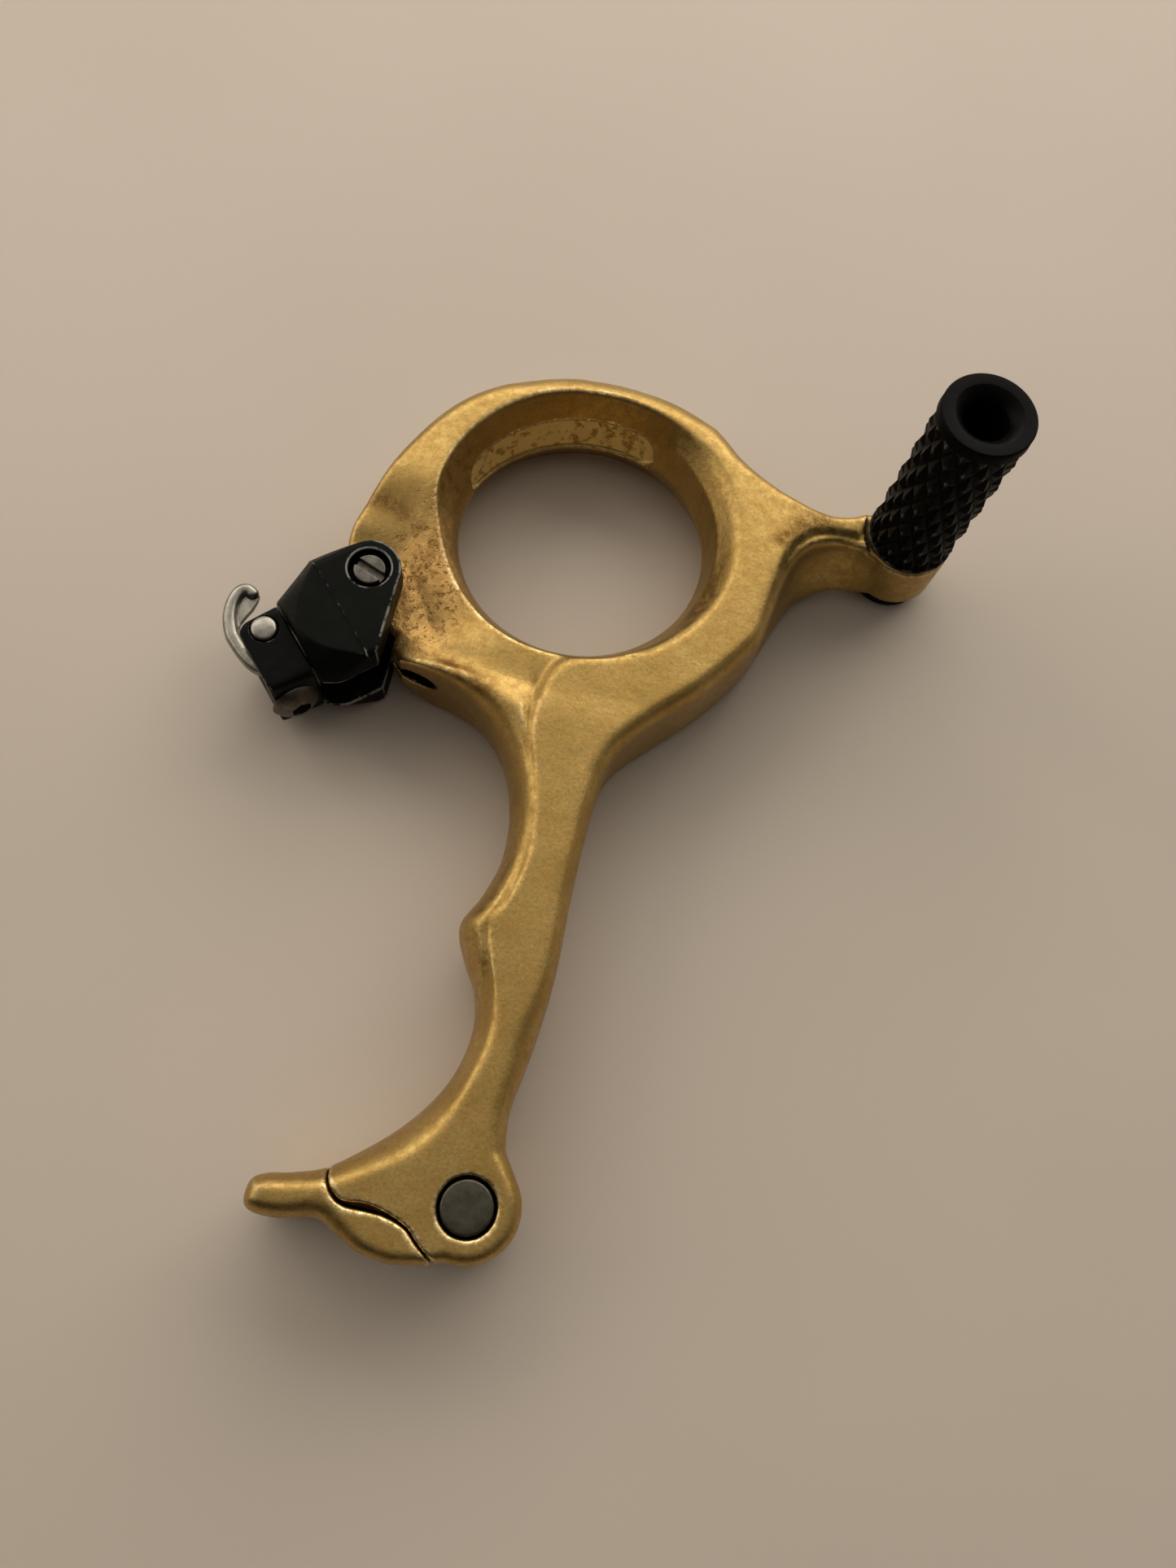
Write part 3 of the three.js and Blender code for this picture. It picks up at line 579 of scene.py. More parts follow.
def sector(bearing, start, end):
    """Negative between two bearings; only its sign counts."""
    return np.where((bearing > start) & (bearing < end), -1, 1) * 0.5


def handle_field(grid, whole, side, hinge_gap, bearing):
    """The handle: whole brass on its side of the seam, less the fork, the pivot and the holes."""
    x, y, z = grid.x, grid.y, grid.z
    mouth = 0.42 * np.exp(-((x + 1.9) / 2.3) ** 2) * step(THICKNESS - 1.6, THICKNESS - 0.4, z)
    handle = soft_max(whole, SEAM_GAP + mouth - side, 0.1)
    handle = soft_max(handle, PIN_RADIUS + CLEARANCE - hinge_gap, 0.12)

    eye_levels = slab(z, EYE_BOTTOM, EYE_TOP)
    eye_room = np.maximum(hinge_gap - BOSS_RADIUS - CLEARANCE / 2, eye_levels)
    swept = -sector(bearing, 25, 205)
    fork = np.maximum(np.maximum(hinge_gap - FORK_REACH, eye_levels), swept)
    handle = np.maximum(handle, -np.minimum(eye_room, fork))

    from_pivot = gap_from(PIVOT, x, y)
    handle = np.maximum(handle, BUSHING_BORE - from_pivot)
    moon_levels = slab(z, MOON_LOW - CLEARANCE, MOON_HIGH + CLEARANCE)
    moon_slot = np.maximum(from_pivot - MOON_RADIUS - CLEARANCE, moon_levels)
    handle = np.maximum(handle, -moon_slot)
    for hole in (screw_hole, travel_hole):
        handle = soft_max(handle, -hole(x, y, z), 0.15)
    return handle


def extension_field(grid, whole, side, hinge_gap, bearing):
    """The extension: whole brass on its side of the seam, and the eye in the handle's fork."""
    eye_levels = slab(grid.z, EYE_BOTTOM + CLEARANCE, EYE_TOP - CLEARANCE)
    eye = np.maximum(hinge_gap - BOSS_RADIUS + 0.35, eye_levels)
    root = np.maximum(hinge_gap - BOSS_RADIUS - 1.4, eye_levels)
    root = np.maximum(root, sector(bearing, 216, 246))
    extension = soft_max(whole, SEAM_GAP + side, 0.1)
    extension = np.minimum(extension, np.minimum(eye, root))
    return np.maximum(extension, PIN_RADIUS + CLEARANCE - hinge_gap)


def brass_fields():
    """The fields of the handle and of the extension on one grid."""
    grid = Grid((-27, -79, -0.9), (43, 22.5, THICKNESS + 0.9), 0.26)
    x, y = grid.x, grid.y
    whole = whole_brass(grid)
    side = extension_side(x[..., 0], y[..., 0])[..., None]
    hinge_gap = gap_from(HINGE, x, y)
    bearing = np.degrees(np.arctan2(y - HINGE[1], x - HINGE[0])) % 360
    shared = (whole, side, hinge_gap, bearing)
    return grid, handle_field(grid, *shared), extension_field(grid, *shared)


# ---- head pieces (head frame)

# The line of pull, about which the block swivels, is parallel to +X.
HEAD_AXIS_Y = 2.8
SHOULDER = 5.0
YOKE_FRONT = 10.1
CHEEK_INNER = 3.3
LOBE = 3.4
NEAR_SIDE = 9.1
FAR_SIDE = -5.2
WASHER_SEAT_RADIUS = 3.92
WASHER_SEAT_FLOOR = 9.96
CHEEK_RADIUS = 8.68
# The near side's window: its rear end, half its height, its corners and its inner side.
WINDOW_END, WINDOW_HALF, WINDOW_CORNER, WINDOW_INNER = 5.7, 2.95, 1.2, 6.0
# Radii of the pivot's bore and counterbore, and the counterbore's depth.
PIVOT_BORE, COUNTERBORE, COUNTERBORE_DEPTH = 1.5, 2.3, 1.7
# Radii of the block's stem, of its bore, and of the room behind it for its retaining ring.
STEM_RADIUS, STEM_BORE, RING_ROOM = 2.2, 2.5, 3.4
RING_ROOM_REAR, RING_ROOM_FRONT = 2, 6.9
# Rounding of the head's machined edges.
MACHINED = 0.15


def from_axis(y, z):
    return np.hypot(y - HEAD_AXIS_Y, z - MID)


def yoke_outside(x, y, z):
    """A turned body cut to the plan, with flat cheeks behind its shoulder."""
    outline = [
        (YOKE_FRONT + 0.8, FAR_SIDE), (YOKE_FRONT + 0.8, NEAR_SIDE), (3.9, NEAR_SIDE),
        *arc((0, 0), LOBE, 135, 252, 26), (SHOULDER, FAR_SIDE),
    ]
    plan = area_distance(outline, x[..., 0], y[..., 0])[..., None]
    stations = (-4, SHOULDER, 7.5, YOKE_FRONT)
    wide = np.interp(x, stations, (8.7, 8.6, 7.4, 6.2))
    tall = np.interp(x, stations, (8.7, 8.6, 7.3, 5.95))
    turned = (np.hypot((y - HEAD_AXIS_Y) / wide, (z - MID) / tall) - 1) * 6
    turned = np.maximum(turned, slab(z, 0.12, THICKNESS - 0.12))
    cheeks = np.maximum(x - SHOULDER, from_axis(y, z) - CHEEK_RADIUS)
    body = np.minimum(turned, cheeks)
    return soft_max_all(0.3, body, plan, slab(z, 0, THICKNESS), x - YOKE_FRONT)


def yoke_slot(x, y, z):
    """The room between the cheeks, in which the handle's tongue swings."""
    behind_bore = x - 2.2
    beside_bore = np.maximum(x - SHOULDER - 1.6, 3.6 - y)
    round_pivot = np.hypot(x, y) - 4.9
    far_corner = np.maximum(x - SHOULDER, y + LOBE)
    room = np.minimum(np.minimum(behind_bore, beside_bore), np.minimum(round_pivot, far_corner))
    return np.maximum(room, slab(z, CHEEK_INNER, THICKNESS - CHEEK_INNER))


def yoke_window(x, y, z):
    """The round-cornered opening in the near side."""
    across = np.abs(z - MID) - WINDOW_HALF + WINDOW_CORNER
    behind = WINDOW_END - x + WINDOW_CORNER
    outer = np.hypot(np.maximum(across, 0), np.maximum(behind, 0))
    window = outer + np.minimum(np.maximum(across, behind), 0)
    return np.maximum(window - WINDOW_CORNER, WINDOW_INNER - y)


def yoke_fields():
    grid = Grid((-4.2, -6.0, -0.6), (10.8, 9.9, THICKNESS + 0.6), 0.1)
    x, y, z = grid.x, grid.y, grid.z
    body = yoke_outside(x, y, z)
    body = soft_max(body, -yoke_slot(x, y, z), MACHINED)
    body = soft_max(body, -yoke_window(x, y, z), 0.2)
    ring_room = np.maximum(from_axis(y, z) - RING_ROOM, slab(x, RING_ROOM_REAR, RING_ROOM_FRONT))
    stem_bore = from_axis(y, z) - STEM_BORE
    washer_seat = np.maximum(from_axis(y, z) - WASHER_SEAT_RADIUS, WASHER_SEAT_FLOOR - x)
    pivot_bore = np.hypot(x, y) - PIVOT_BORE
    for cut in (ring_room, stem_bore, washer_seat, pivot_bore):
        body = np.maximum(body, -cut)
    counterbore = np.maximum(np.hypot(x, y) - COUNTERBORE, THICKNESS - COUNTERBORE_DEPTH - z)
    return grid, soft_max(body, -counterbore, MACHINED)


BLOCK_REAR, BLOCK_FRONT = 10.28, 15.2
BLOCK_HALF_WIDTH, BLOCK_HALF_HEIGHT = 4.2, 4.5
PIN_X, PIN_Y = 12.65, 0.32
LOCK_SCREW_X = 13.0
HOOK_HALF = 0.8
# How far the hook reaches from its pin as it swings, and the radii of the block's bores.
HOOK_SWING = 4.9
PLUNGER_BORE, PIN_BORE, PIN_SEAT, LOCK_BORE = 1.15, 1.1, 1.55, 1.4
HUB_RADIUS, HUB_BORE = 1.75, 1.2


def from_pin(x, y):
    return np.hypot(x - PIN_X, y - PIN_Y)


def block_outside(x, y, z):
    """The block with its rounded sides, one cut corner, and the stem it turns on."""
    wide = np.abs(y - HEAD_AXIS_Y) - BLOCK_HALF_WIDTH - 0.09 * (BLOCK_FRONT - x)
    tall = np.abs(z - MID) - BLOCK_HALF_HEIGHT
    body = soft_max(wide, tall, 0.5)
    body = soft_max(body, from_axis(y, z) - 6.1 + 0.04 * np.maximum(x - 13.5, 0) ** 2, 0.5)
    corner = ((x - BLOCK_FRONT) - (y - HEAD_AXIS_Y) - BLOCK_HALF_WIDTH + 0.9) * math.sqrt(0.5)
    body = soft_max_all(0.3, body, BLOCK_REAR - x, x - BLOCK_FRONT, corner)
    stem = np.maximum(from_axis(y, z) - STEM_RADIUS, slab(x, 5.6, 11))
    return np.minimum(body, stem)


def block_fields():
    grid = Grid((5.2, -2.2, 1.2), (15.9, 7.8, 11.5), 0.09)
    x, y, z = grid.x, grid.y, grid.z
    swing = np.maximum(from_pin(x, y) - HOOK_SWING, BLOCK_REAR + 0.5 - x)
    mouth = np.maximum(PIN_X - x, y - PIN_Y - 4.2)
    slot_levels = slab(z, MID - HOOK_HALF - CLEARANCE, MID + HOOK_HALF + CLEARANCE)
    slot = np.maximum(np.minimum(swing, mouth), slot_levels)
    body = soft_max(block_outside(x, y, z), -slot, MACHINED)
    plunger_bore = np.maximum(from_axis(y, z) - PLUNGER_BORE, x - PIN_X - 0.6)
    pin_bore = from_pin(x, y) - PIN_BORE
    pin_seat = np.maximum(from_pin(x, y) - PIN_SEAT, MID + BLOCK_HALF_HEIGHT - 0.7 - z)
    screw_end = HEAD_AXIS_Y + BLOCK_HALF_WIDTH - 1.9
    screw_bore = np.maximum(np.hypot(x - LOCK_SCREW_X, z - MID) - LOCK_BORE, screw_end - y)
    for cut in (plunger_bore, pin_bore, pin_seat, screw_bore):
        body = np.maximum(body, -cut)
    return grid, body


# The middle of the hook's wire, from its tip round to the hub.
HOOK_LINE = [
    (11.55, -6.45), (11.75, -7.0), (12.3, -7.3), (12.95, -7.15), (13.85, -6.5), (14.6, -5.6),
    (15.1, -4.7), (15.55, -3.4), (15.7, -2.2), (15.5, 0.2), (15.0, 1.8), (14.1, 2.9),
]
# The wire's radius at shares of its length.
HOOK_SHARES, HOOK_RADII = (0, 0.15, 0.6, 1), (0.68, 0.72, 0.8, 0.76)
# The thin blade inside the hook's bend, on which the loop bears.
HOOK_BLADE = [
    (11.3, -7.2), (10.95, -6.6), (11.0, -6.0), (11.4, -5.5), (12.35, -4.8), (13.45, -4.3), (14.3, -3.85),
    (15.0, -3.0), (15.5, -4.5), (14.3, -6.4), (12.6, -7.5),
]
# The flat web that joins the wire to the hub.
HOOK_WEB = [(12.2, 1.2), (13.6, -1.0), (15.4, -0.6), (15.2, 1.6), (13.6, 3.2)]


def hook_wire(x, y, z):
    line = smooth_line(HOOK_LINE, 6)
    thick = np.interp(np.linspace(0, 1, len(line)), HOOK_SHARES, HOOK_RADII)
    wire = np.full(np.broadcast(x, y, z).shape, 9, np.float32)
    for start, end, radius, end_radius in zip(line, line[1:], thick, thick[1:]):
        piece = rod_field(x, y, z, (*start, MID), (*end, MID), radius, end_radius)
        wire = np.minimum(wire, piece)
    return wire


def hook_fields():
    grid = Grid((9.6, -8.7, MID - 1.5), (17.2, 4.4, MID + 1.5), 0.075)
    x, y, z = grid.x, grid.y, grid.z
    fx, fy = x[..., 0], y[..., 0]
    sides = np.abs(z - MID) - HOOK_HALF
    hub = np.maximum(from_pin(x, y) - HUB_RADIUS, sides)
    web = np.maximum(area_distance(HOOK_WEB, fx, fy)[..., None], sides + 0.1)
    blade_levels = slab(z, MID - HOOK_HALF + 0.05, MID - 0.1)
    blade = np.maximum(area_distance(HOOK_BLADE, fx, fy)[..., None], blade_levels)
    body = soft_min(hook_wire(x, y, z), soft_min(hub, web, 0.3), 0.35)
    body = np.maximum(np.minimum(body, blade), HUB_BORE - from_pin(x, y))
    return grid, soft_max(body, sides, 0.2)


def pivot_screw_fields():
    """A slotted cheese-head screw, its slot turned off the head's axes."""
    grid = Grid((-2.3, -2.3, 0), (2.3, 2.3, THICKNESS + 0.2), 0.07)
    x, y, z = grid.x, grid.y, grid.z
    top, seat = THICKNESS - 0.3, THICKNESS - 1.55
    slot_half, slot_depth = 0.42, 0.65
    radius = np.hypot(x, y)
    head = soft_max(radius - 1.74, slab(z, seat, top), 0.22)
    shank = np.maximum(radius - 1.2, slab(z, 0.3, seat + 0.1))
    angle = math.radians(116)
    off = np.abs(x * math.sin(angle) - y * math.cos(angle))
    slot = np.maximum(off - slot_half, top - slot_depth - z)
    return grid, soft_max(np.minimum(head, shank), -slot, 0.08)


def lock_screw_fields():
    """A button-head screw with a hexagon socket, in the block's near side."""
    seat = HEAD_AXIS_Y + BLOCK_HALF_WIDTH + 0.1
    grid = Grid((9.8, seat - 2.0, MID - 3.2), (16.2, seat + 1.9, MID + 3.2), 0.07)
    x, y, z = grid.x, grid.y, grid.z
    head_radius, head_height, dome_radius = 2.85, 1.61, 3.36
    radius = np.hypot(x - LOCK_SCREW_X, z - MID)
    dome = np.hypot(radius, y - seat + dome_radius - head_height) - dome_radius
    head = soft_max_all(0.18, radius - head_radius, seat - y, dome)
    shank = np.maximum(radius - 1.2, slab(y, seat - 1.7, seat + 0.1))
    socket = np.maximum(hexagon(x - LOCK_SCREW_X, z - MID, 1.0), seat + 0.5 - y)
    return grid, soft_max(np.minimum(head, shank), -socket, 0.08)


def hexagon(x, y, inradius):
    sides = [np.abs(x * math.cos(a) + y * math.sin(a)) for a in (0, math.pi / 3, 2 * math.pi / 3)]
    return np.maximum(np.maximum(sides[0], sides[1]), sides[2]) - inradius


# ---- turned meshes

def turned_mesh(profile, segments, wave=None):
    """Points turned round +Z: (radius, height) pairs, closed at the axis or on themselves."""
    closed = profile[0] == profile[-1]
    rings = profile[:-1] if closed else profile
    angles = np.linspace(0, 2 * math.pi, segments, endpoint=False)
    vertices, quads = [], []
    for radius, height in rings:
        r = radius if wave is None else radius + wave(angles, radius, height)
        r = np.broadcast_to(r, angles.shape)
        level = np.full(segments, height)
        vertices.append(np.stack([r * np.cos(angles), r * np.sin(angles), level], axis=1))
    count = len(rings) if closed else len(rings) - 1
    here = np.arange(segments)
    after = (here + 1) % segments
    for row in range(count):
        low, high = row * segments, ((row + 1) % len(rings)) * segments
        quads.append(np.stack([low + here, low + after, high + after, high + here], axis=1))
    return np.concatenate(vertices), np.concatenate(quads)


BARREL_RADIUS, BARREL_BORE = 4.95, 2.4
KNURL_STARTS = 15
KNURL_PITCH = 4.2
KNURL_DEPTH = 0.6
KNURL_LOW = 0.35
COLLAR = 1.3


def saw(value):
    """0 at whole numbers and 1 half way between them."""
    return 1 - np.abs(2 * (value % 1) - 1)


def barrel_mesh():
    """The thumb barrel: diamond knurl, plain collar, and a bore countersunk at the top."""
    low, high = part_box("thumb_barrel")
    height = (high.z - low.z) / MM
    radius, bore = BARREL_RADIUS, BARREL_BORE
    knurl_high = height - COLLAR
    rows, segments_per_start = 132, 18

    def knurl(angles, r, z):
        if not (r == radius and KNURL_LOW <= z <= knurl_high):
            return 0
        turn = angles / (2 * math.pi) * KNURL_STARTS
        peak = np.minimum(saw(turn + z / KNURL_PITCH), saw(turn - z / KNURL_PITCH))
        fade = min((z - KNURL_LOW) / 0.4, (knurl_high - z) / 0.4, 1)
        return -KNURL_DEPTH * (1 - peak ** 0.8) * fade

    wall = [(radius, z) for z in np.linspace(KNURL_LOW, knurl_high, rows)]
    neck = radius - 0.06
    foot = [(bore, 0), (radius - 0.4, 0), (radius - 0.1, 0.1)]
    collar = [(neck, knurl_high + 0.2), (neck, height - 0.12), (neck - 0.12, height), (neck - 0.2, height)]
    countersink = [
        (bore + 1.2, height), (bore + 1.1, height - 0.02), (bore + 0.06, height - 0.95),
        (bore, height - 1.1),
    ]
    profile = [*foot, *wall, *collar, *countersink, (bore, height * 0.5), (bore, 0)]
    return turned_mesh(profile, KNURL_STARTS * segments_per_start, knurl)


def pin_head_mesh(node, radius, chamfer, dish):
    """A plain pin with chamfered ends and a slightly dished top."""
    low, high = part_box(node)
    z0, z1 = low.z / MM, high.z / MM
    profile = [
        (0, z0), (radius - chamfer, z0), (radius, z0 + chamfer), (radius, z1 - chamfer),
        (radius - chamfer * 0.3, z1 - chamfer * 0.3), (radius - chamfer, z1),
        (radius * 0.5, z1 - dish), (0, z1 - dish),
    ]
    return turned_mesh(profile, 96)


def hook_pin_mesh():
    """The hook's pin, with a domed head."""
    low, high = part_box("hook_pin")
    z0, z1 = low.z / MM, high.z / MM
    head, shaft = 1.36, 0.9
    rise = 0.4
    seat = z1 - 1.0
    turns = np.linspace(0.05, 1.45, 9)
    dome = [(head * math.cos(a), z1 - rise + rise * math.sin(a) ** 0.8) for a in turns]
    profile = [(0, z0), (shaft, z0), (shaft, seat), (head, seat), (head, z1 - 0.5), *dome, (0, z1)]
    return turned_mesh(profile, 72)


# ---- making pieces

def head_matrix():
    """From the head's own frame to the world."""
    place = Vector((middle("pivot_screw").x, middle("pivot_screw").y, 0))
    across = Vector((0, 0, 1)).cross(PULL)
    turn = Matrix((PULL, across, Vector((0, 0, 1)))).transposed().to_4x4()
    return Matrix.Translation(place) @ turn


def placed(vertices, matrix):
    """Millimetres in a piece's own frame to metres in the world."""
    turn = np.array(matrix.to_3x3())
    shift = np.array(matrix.translation)
    return vertices * MM @ turn.T + shift


RING_MATRIX = Matrix.Translation(RING_PLACE)
HEAD_MATRIX = head_matrix()


def upright_matrix(node):
    return Matrix.Translation(Vector((middle(node).x, middle(node).y, 0)))


def add_piece(name, vertices, quads, matrix, material, body, slot, replaced, values=None):
    mesh = bpy.data.meshes.new(name)
    mesh.from_pydata(placed(vertices, matrix).tolist(), [], quads.tolist())
    mesh.validate()
    mesh.polygons.foreach_set("use_smooth", [True] * len(mesh.polygons))
    for key, value in (values or {}).items():
        attribute = mesh.attributes.new(key, "FLOAT", "POINT")
        attribute.data.foreach_set("value", np.asarray(value, np.float32))
    mesh.materials.append(material)
    piece = bpy.data.objects.new(name, mesh)
    bpy.context.scene.collection.objects.link(piece)
    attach(piece, body)
    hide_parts(replaced)
    return piece


def add_field_piece(name, grid, field, matrix, material, body, slot, replaced, extra=None):
    vertices, quads = surface(field, grid)
    values = {"wear": edge_sharpness(vertices, quads, grid.cell)}
    if extra:
        values.update({key: rule(vertices) for key, rule in extra.items()})
    return add_piece(name, vertices, quads, matrix, material, body, slot, replaced, values)


def split_sharp(piece, degrees=35):
    """Flat faces stay flat and round ones stay smooth."""
    modifier = piece.modifiers.new("sharp_edges", "EDGE_SPLIT")
    modifier.split_angle = math.radians(degrees)


# ---- materials

class Nodes:
    """A short way to write a material's nodes."""

    def __init__(self, name):
        self.material = bpy.data.materials.new(name)
        self.material.use_nodes = True
        self.tree = self.material.node_tree
        self.shader = self.tree.nodes["Principled BSDF"]
        self.place = self.add("ShaderNodeTexCoord").outputs["Object"]

    def add(self, kind, **settings):
        node = self.tree.nodes.new(kind)
        for key, value in settings.items():
            setattr(node, key, value)
        return node

    def put(self, socket, value):
        """Links a socket, or sets a number or a colour of three parts."""
        if isinstance(value, bpy.types.NodeSocket):
            self.tree.links.new(value, socket)
        elif isinstance(value, tuple):
            socket.default_value = (*value, 1.0)
        else:
            socket.default_value = value

    def noise(self, per_mm, detail=4, rough=0.55, stretch=None):
        node = self.add("ShaderNodeTexNoise")
        self.put(node.inputs["Vector"], self.stretched(stretch) if stretch else self.place)
        node.inputs["Scale"].default_value = per_mm / MM
        node.inputs["Detail"].default_value = detail
        node.inputs["Roughness"].default_value = rough
        return node.outputs["Fac"]

    def stretched(self, stretch):
        node = self.add("ShaderNodeMapping")
        self.put(node.inputs["Vector"], self.place)
        node.inputs["Rotation"].default_value = stretch[0]
        node.inputs["Scale"].default_value = stretch[1]
        return node.outputs["Vector"]

    def value(self, name):
        return self.add("ShaderNodeAttribute", attribute_name=name).outputs["Fac"]

    def span(self, value, low, high, to_low=0.0, to_high=1.0):
        node = self.add("ShaderNodeMapRange", interpolation_type="SMOOTHSTEP")
        self.put(node.inputs["Value"], value)
        for key, number in (("From Min", low), ("From Max", high), ("To Min", to_low), ("To Max", to_high)):
            node.inputs[key].default_value = number
        return node.outputs["Result"]

    def math(self, operation, a, b):
        node = self.add("ShaderNodeMath", operation=operation)
        self.put(node.inputs[0], a)
        self.put(node.inputs[1], b)
        return node.outputs["Value"]

    def times(self, a, b):
        return self.math("MULTIPLY", a, b)

    def mix(self, share, a, b):
        node = self.add("ShaderNodeMix", data_type="RGBA")
        self.put(node.inputs["Factor"], share)
        self.put(node.inputs[6], a)
        self.put(node.inputs[7], b)
        return node.outputs[2]

    def bump(self, height, distance_mm, strength=1.0, under=None):
        node = self.add("ShaderNodeBump")
        self.put(node.inputs["Height"], height)
        node.inputs["Distance"].default_value = distance_mm * MM
        node.inputs["Strength"].default_value = strength
        if under is not None:
            self.put(node.inputs["Normal"], under)
        return node.outputs["Normal"]

    def finish(self, **sockets):
        for key, value in sockets.items():
            self.put(self.shader.inputs[key.replace("_", " ")], value)
        return self.material


def brass_(n, wear, worn):
    """Golden brass: mottled, darkened brown in its hollows, orange where cast, bright where worn; painted shade in
    brown bands and down the threaded holes, and painted light on the pocket's floor.
    """
    cast = n.value("cast")
    clouds = n.span(n.noise(0.16, 3, 0.6), 0.35, 0.68)
    golden = n.mix(clouds, (0.44, 0.295, 0.09), (0.54, 0.375, 0.132))
    mottle = n.span(n.noise(0.9, 5, 0.65), 0.34, 0.7)
    mottled = n.mix(n.times(mottle, 0.55), golden, (0.43, 0.255, 0.075))
    speckled = n.span(n.noise(2.8, 5, 0.75), 0.42, 0.66, 0.0, 0.5)
    mottled = n.mix(speckled, mottled, (0.30, 0.175, 0.05))
    hollow = n.times(n.span(wear, 0.0, -0.10), 0.75)
    # Painted shade: the brown bands, broken up by noise, darken the brass as its hollows are darkened.
    patchy_shade = n.times(n.value("shade_band"), n.span(n.noise(0.6, 4, 0.7), 0.30, 0.60))
    stain_and_shade = n.mix(n.math("MAXIMUM", hollow, patchy_shade), mottled, (0.17, 0.085, 0.022))
    blotch = n.span(n.noise(0.32, 4, 0.65), 0.48, 0.62, 0.0, 0.6)
    spots = n.span(n.noise(1.3, 4, 0.7), 0.50, 0.62, 0.0, 0.7)
    orange = n.mix(n.times(cast, 0.7), stain_and_shade, (0.78, 0.50, 0.19))
    spotted = n.times(cast, n.math("MAXIMUM", blotch, spots))
    tarnished = n.mix(spotted, orange, (0.26, 0.13, 0.035))
    polished = n.mix(worn, tarnished, (0.90, 0.73, 0.40))
    # Painted light: the pocket's floor is painted bright gold for the light thrown into the bore, with brown blots
    # on it.
    blots = n.span(n.noise(0.75, 4, 0.7), 0.50, 0.60, 0.0, 0.8)
    pocket_light_and_blots = n.mix(blots, (1.0, 0.80, 0.34), (0.45, 0.24, 0.05))
    lit = n.mix(n.times(n.value("pocket"), 0.9), polished, pocket_light_and_blots)
    # Painted shade: the brass down in the threaded holes is painted nearly black.
    return n.mix(n.value("hole_shade"), lit, (0.004, 0.003, 0.002))


def brass_roughness(n, worn):
    mottle = n.span(n.noise(0.9, 5, 0.65), 0.34, 0.7)
    grain = n.times(n.noise(4.0, 4, 0.6), 0.12)
    grainy = n.math("ADD", n.span(mottle, 0.0, 1.0, 0.29, 0.43), grain)
    sandy = n.times(n.math("MAXIMUM", n.value("cast"), n.value("pocket")), 0.20)
    return n.math("SUBTRACT", n.math("ADD", grainy, sandy), n.times(worn, 0.12))


def brass_bumps(n):
    """Tumbling marks, a few scratches, and the pits and sand texture of the cast surface."""
    cast = n.value("cast")
    tumbled = n.bump(n.noise(0.55, 3, 0.5), 0.10, 0.55)
    peened = n.bump(n.noise(2.6, 5, 0.7), 0.035, 0.8, tumbled)
    scratch_field = n.noise(0.7, 2, 0.5, ((0, 0, 0.5), (8, 0.5, 1)))
    scratched = n.bump(n.span(scratch_field, 0.62, 0.66), 0.012, 0.5, peened)
    pit_depth = n.times(cast, n.span(n.noise(1.3, 4, 0.7), 0.54, 0.66))
    pitted = n.bump(pit_depth, -0.16, 0.9, scratched)
    return n.bump(n.times(cast, n.noise(1.6, 5, 0.7)), 0.14, 0.8, pitted)


def brass_material():
    n = Nodes("cast_brass")
    wear = n.value("wear")
    worn = n.times(n.span(wear, 0.025, 0.12), n.span(n.noise(1.6, 5, 0.75), 0.40, 0.62))
    base = brass_(n, wear, worn)
    rough = brass_roughness(n, worn)
    return n.finish(Base_Color=base, Roughness=rough, Metallic=1.0, Normal=brass_bumps(n))


def anodised_material(name, tint, roughness, wear_start):
    """Black anodising, chipped to bare aluminium on its rubbed edges."""
    n = Nodes(name)
    wear = n.value("wear")
    patch = n.span(n.noise(0.5, 4, 0.6), 0.35, 0.7)
    dull = n.mix(patch, tint, tuple(c * 1.7 for c in tint))
    rubbed = n.times(n.value("rubbed"), 0.14)
    chip = n.span(n.math("ADD", n.noise(0.45, 5, 0.75), rubbed), 0.52, 0.66)
    worn = n.times(n.span(wear, wear_start, wear_start + 0.05), chip)
    base = n.mix(n.times(worn, 0.8), dull, (0.34, 0.335, 0.31))
    rough = n.span(n.noise(1.4, 4, 0.6), 0.3, 0.7, roughness - 0.06, roughness + 0.08)
    fine = n.bump(n.noise(7.0, 3, 0.6), 0.010, 0.5)
    lumpy = n.bump(n.noise(0.8, 3, 0.5), 0.03, 0.4, fine)
    return n.finish(
        Base_Color=base, Roughness=rough, Metallic=0.0, Specular_IOR_Level=0.07, Normal=lumpy
    )


def knurl_material():
    """Black anodising, worn in patches on the diamonds' tips, whose lighter grey is also a painted highlight."""
    n = Nodes("knurled_black")
    tip_wear_and_glint = n.span(n.value("wear"), 0.0, 1.0)
    worn = n.times(tip_wear_and_glint, n.span(n.noise(0.7, 4, 0.7), 0.45, 0.60))
    # The lighter grey tips are worn anodising and painted highlights.
    tips = n.times(worn, 0.75)
    base = n.mix(tips, (0.0022, 0.0022, 0.0020), (0.16, 0.155, 0.14))
    rough = n.span(n.noise(2.0, 4, 0.6), 0.3, 0.7, 0.34, 0.46)
    rough_skin = n.bump(n.noise(5.0, 3, 0.6), 0.015, 0.6)
    return n.finish(
        Base_Color=base, Roughness=rough, Metallic=0.0, Specular_IOR_Level=0.05, Normal=rough_skin
    )


def steel_material(name, light, dark, roughness):
    """Satin steel in two tones, faintly brushed and dinged."""
    n = Nodes(name)
    patch = n.span(n.noise(0.8, 5, 0.65), 0.35, 0.68)
    base = n.mix(patch, light, dark)
    rough = n.span(n.noise(1.5, 4, 0.6), 0.3, 0.7, roughness - 0.06, roughness + 0.08)
    lines = n.noise(1.4, 3, 0.6, ((0, 0, 0.7), (9, 0.8, 1)))
    brushed = n.bump(lines, 0.010, 0.5)
    dinged = n.bump(n.noise(0.9, 3, 0.5), 0.03, 0.35, brushed)
    return n.finish(Base_Color=base, Roughness=rough, Metallic=1.0, Normal=dinged)


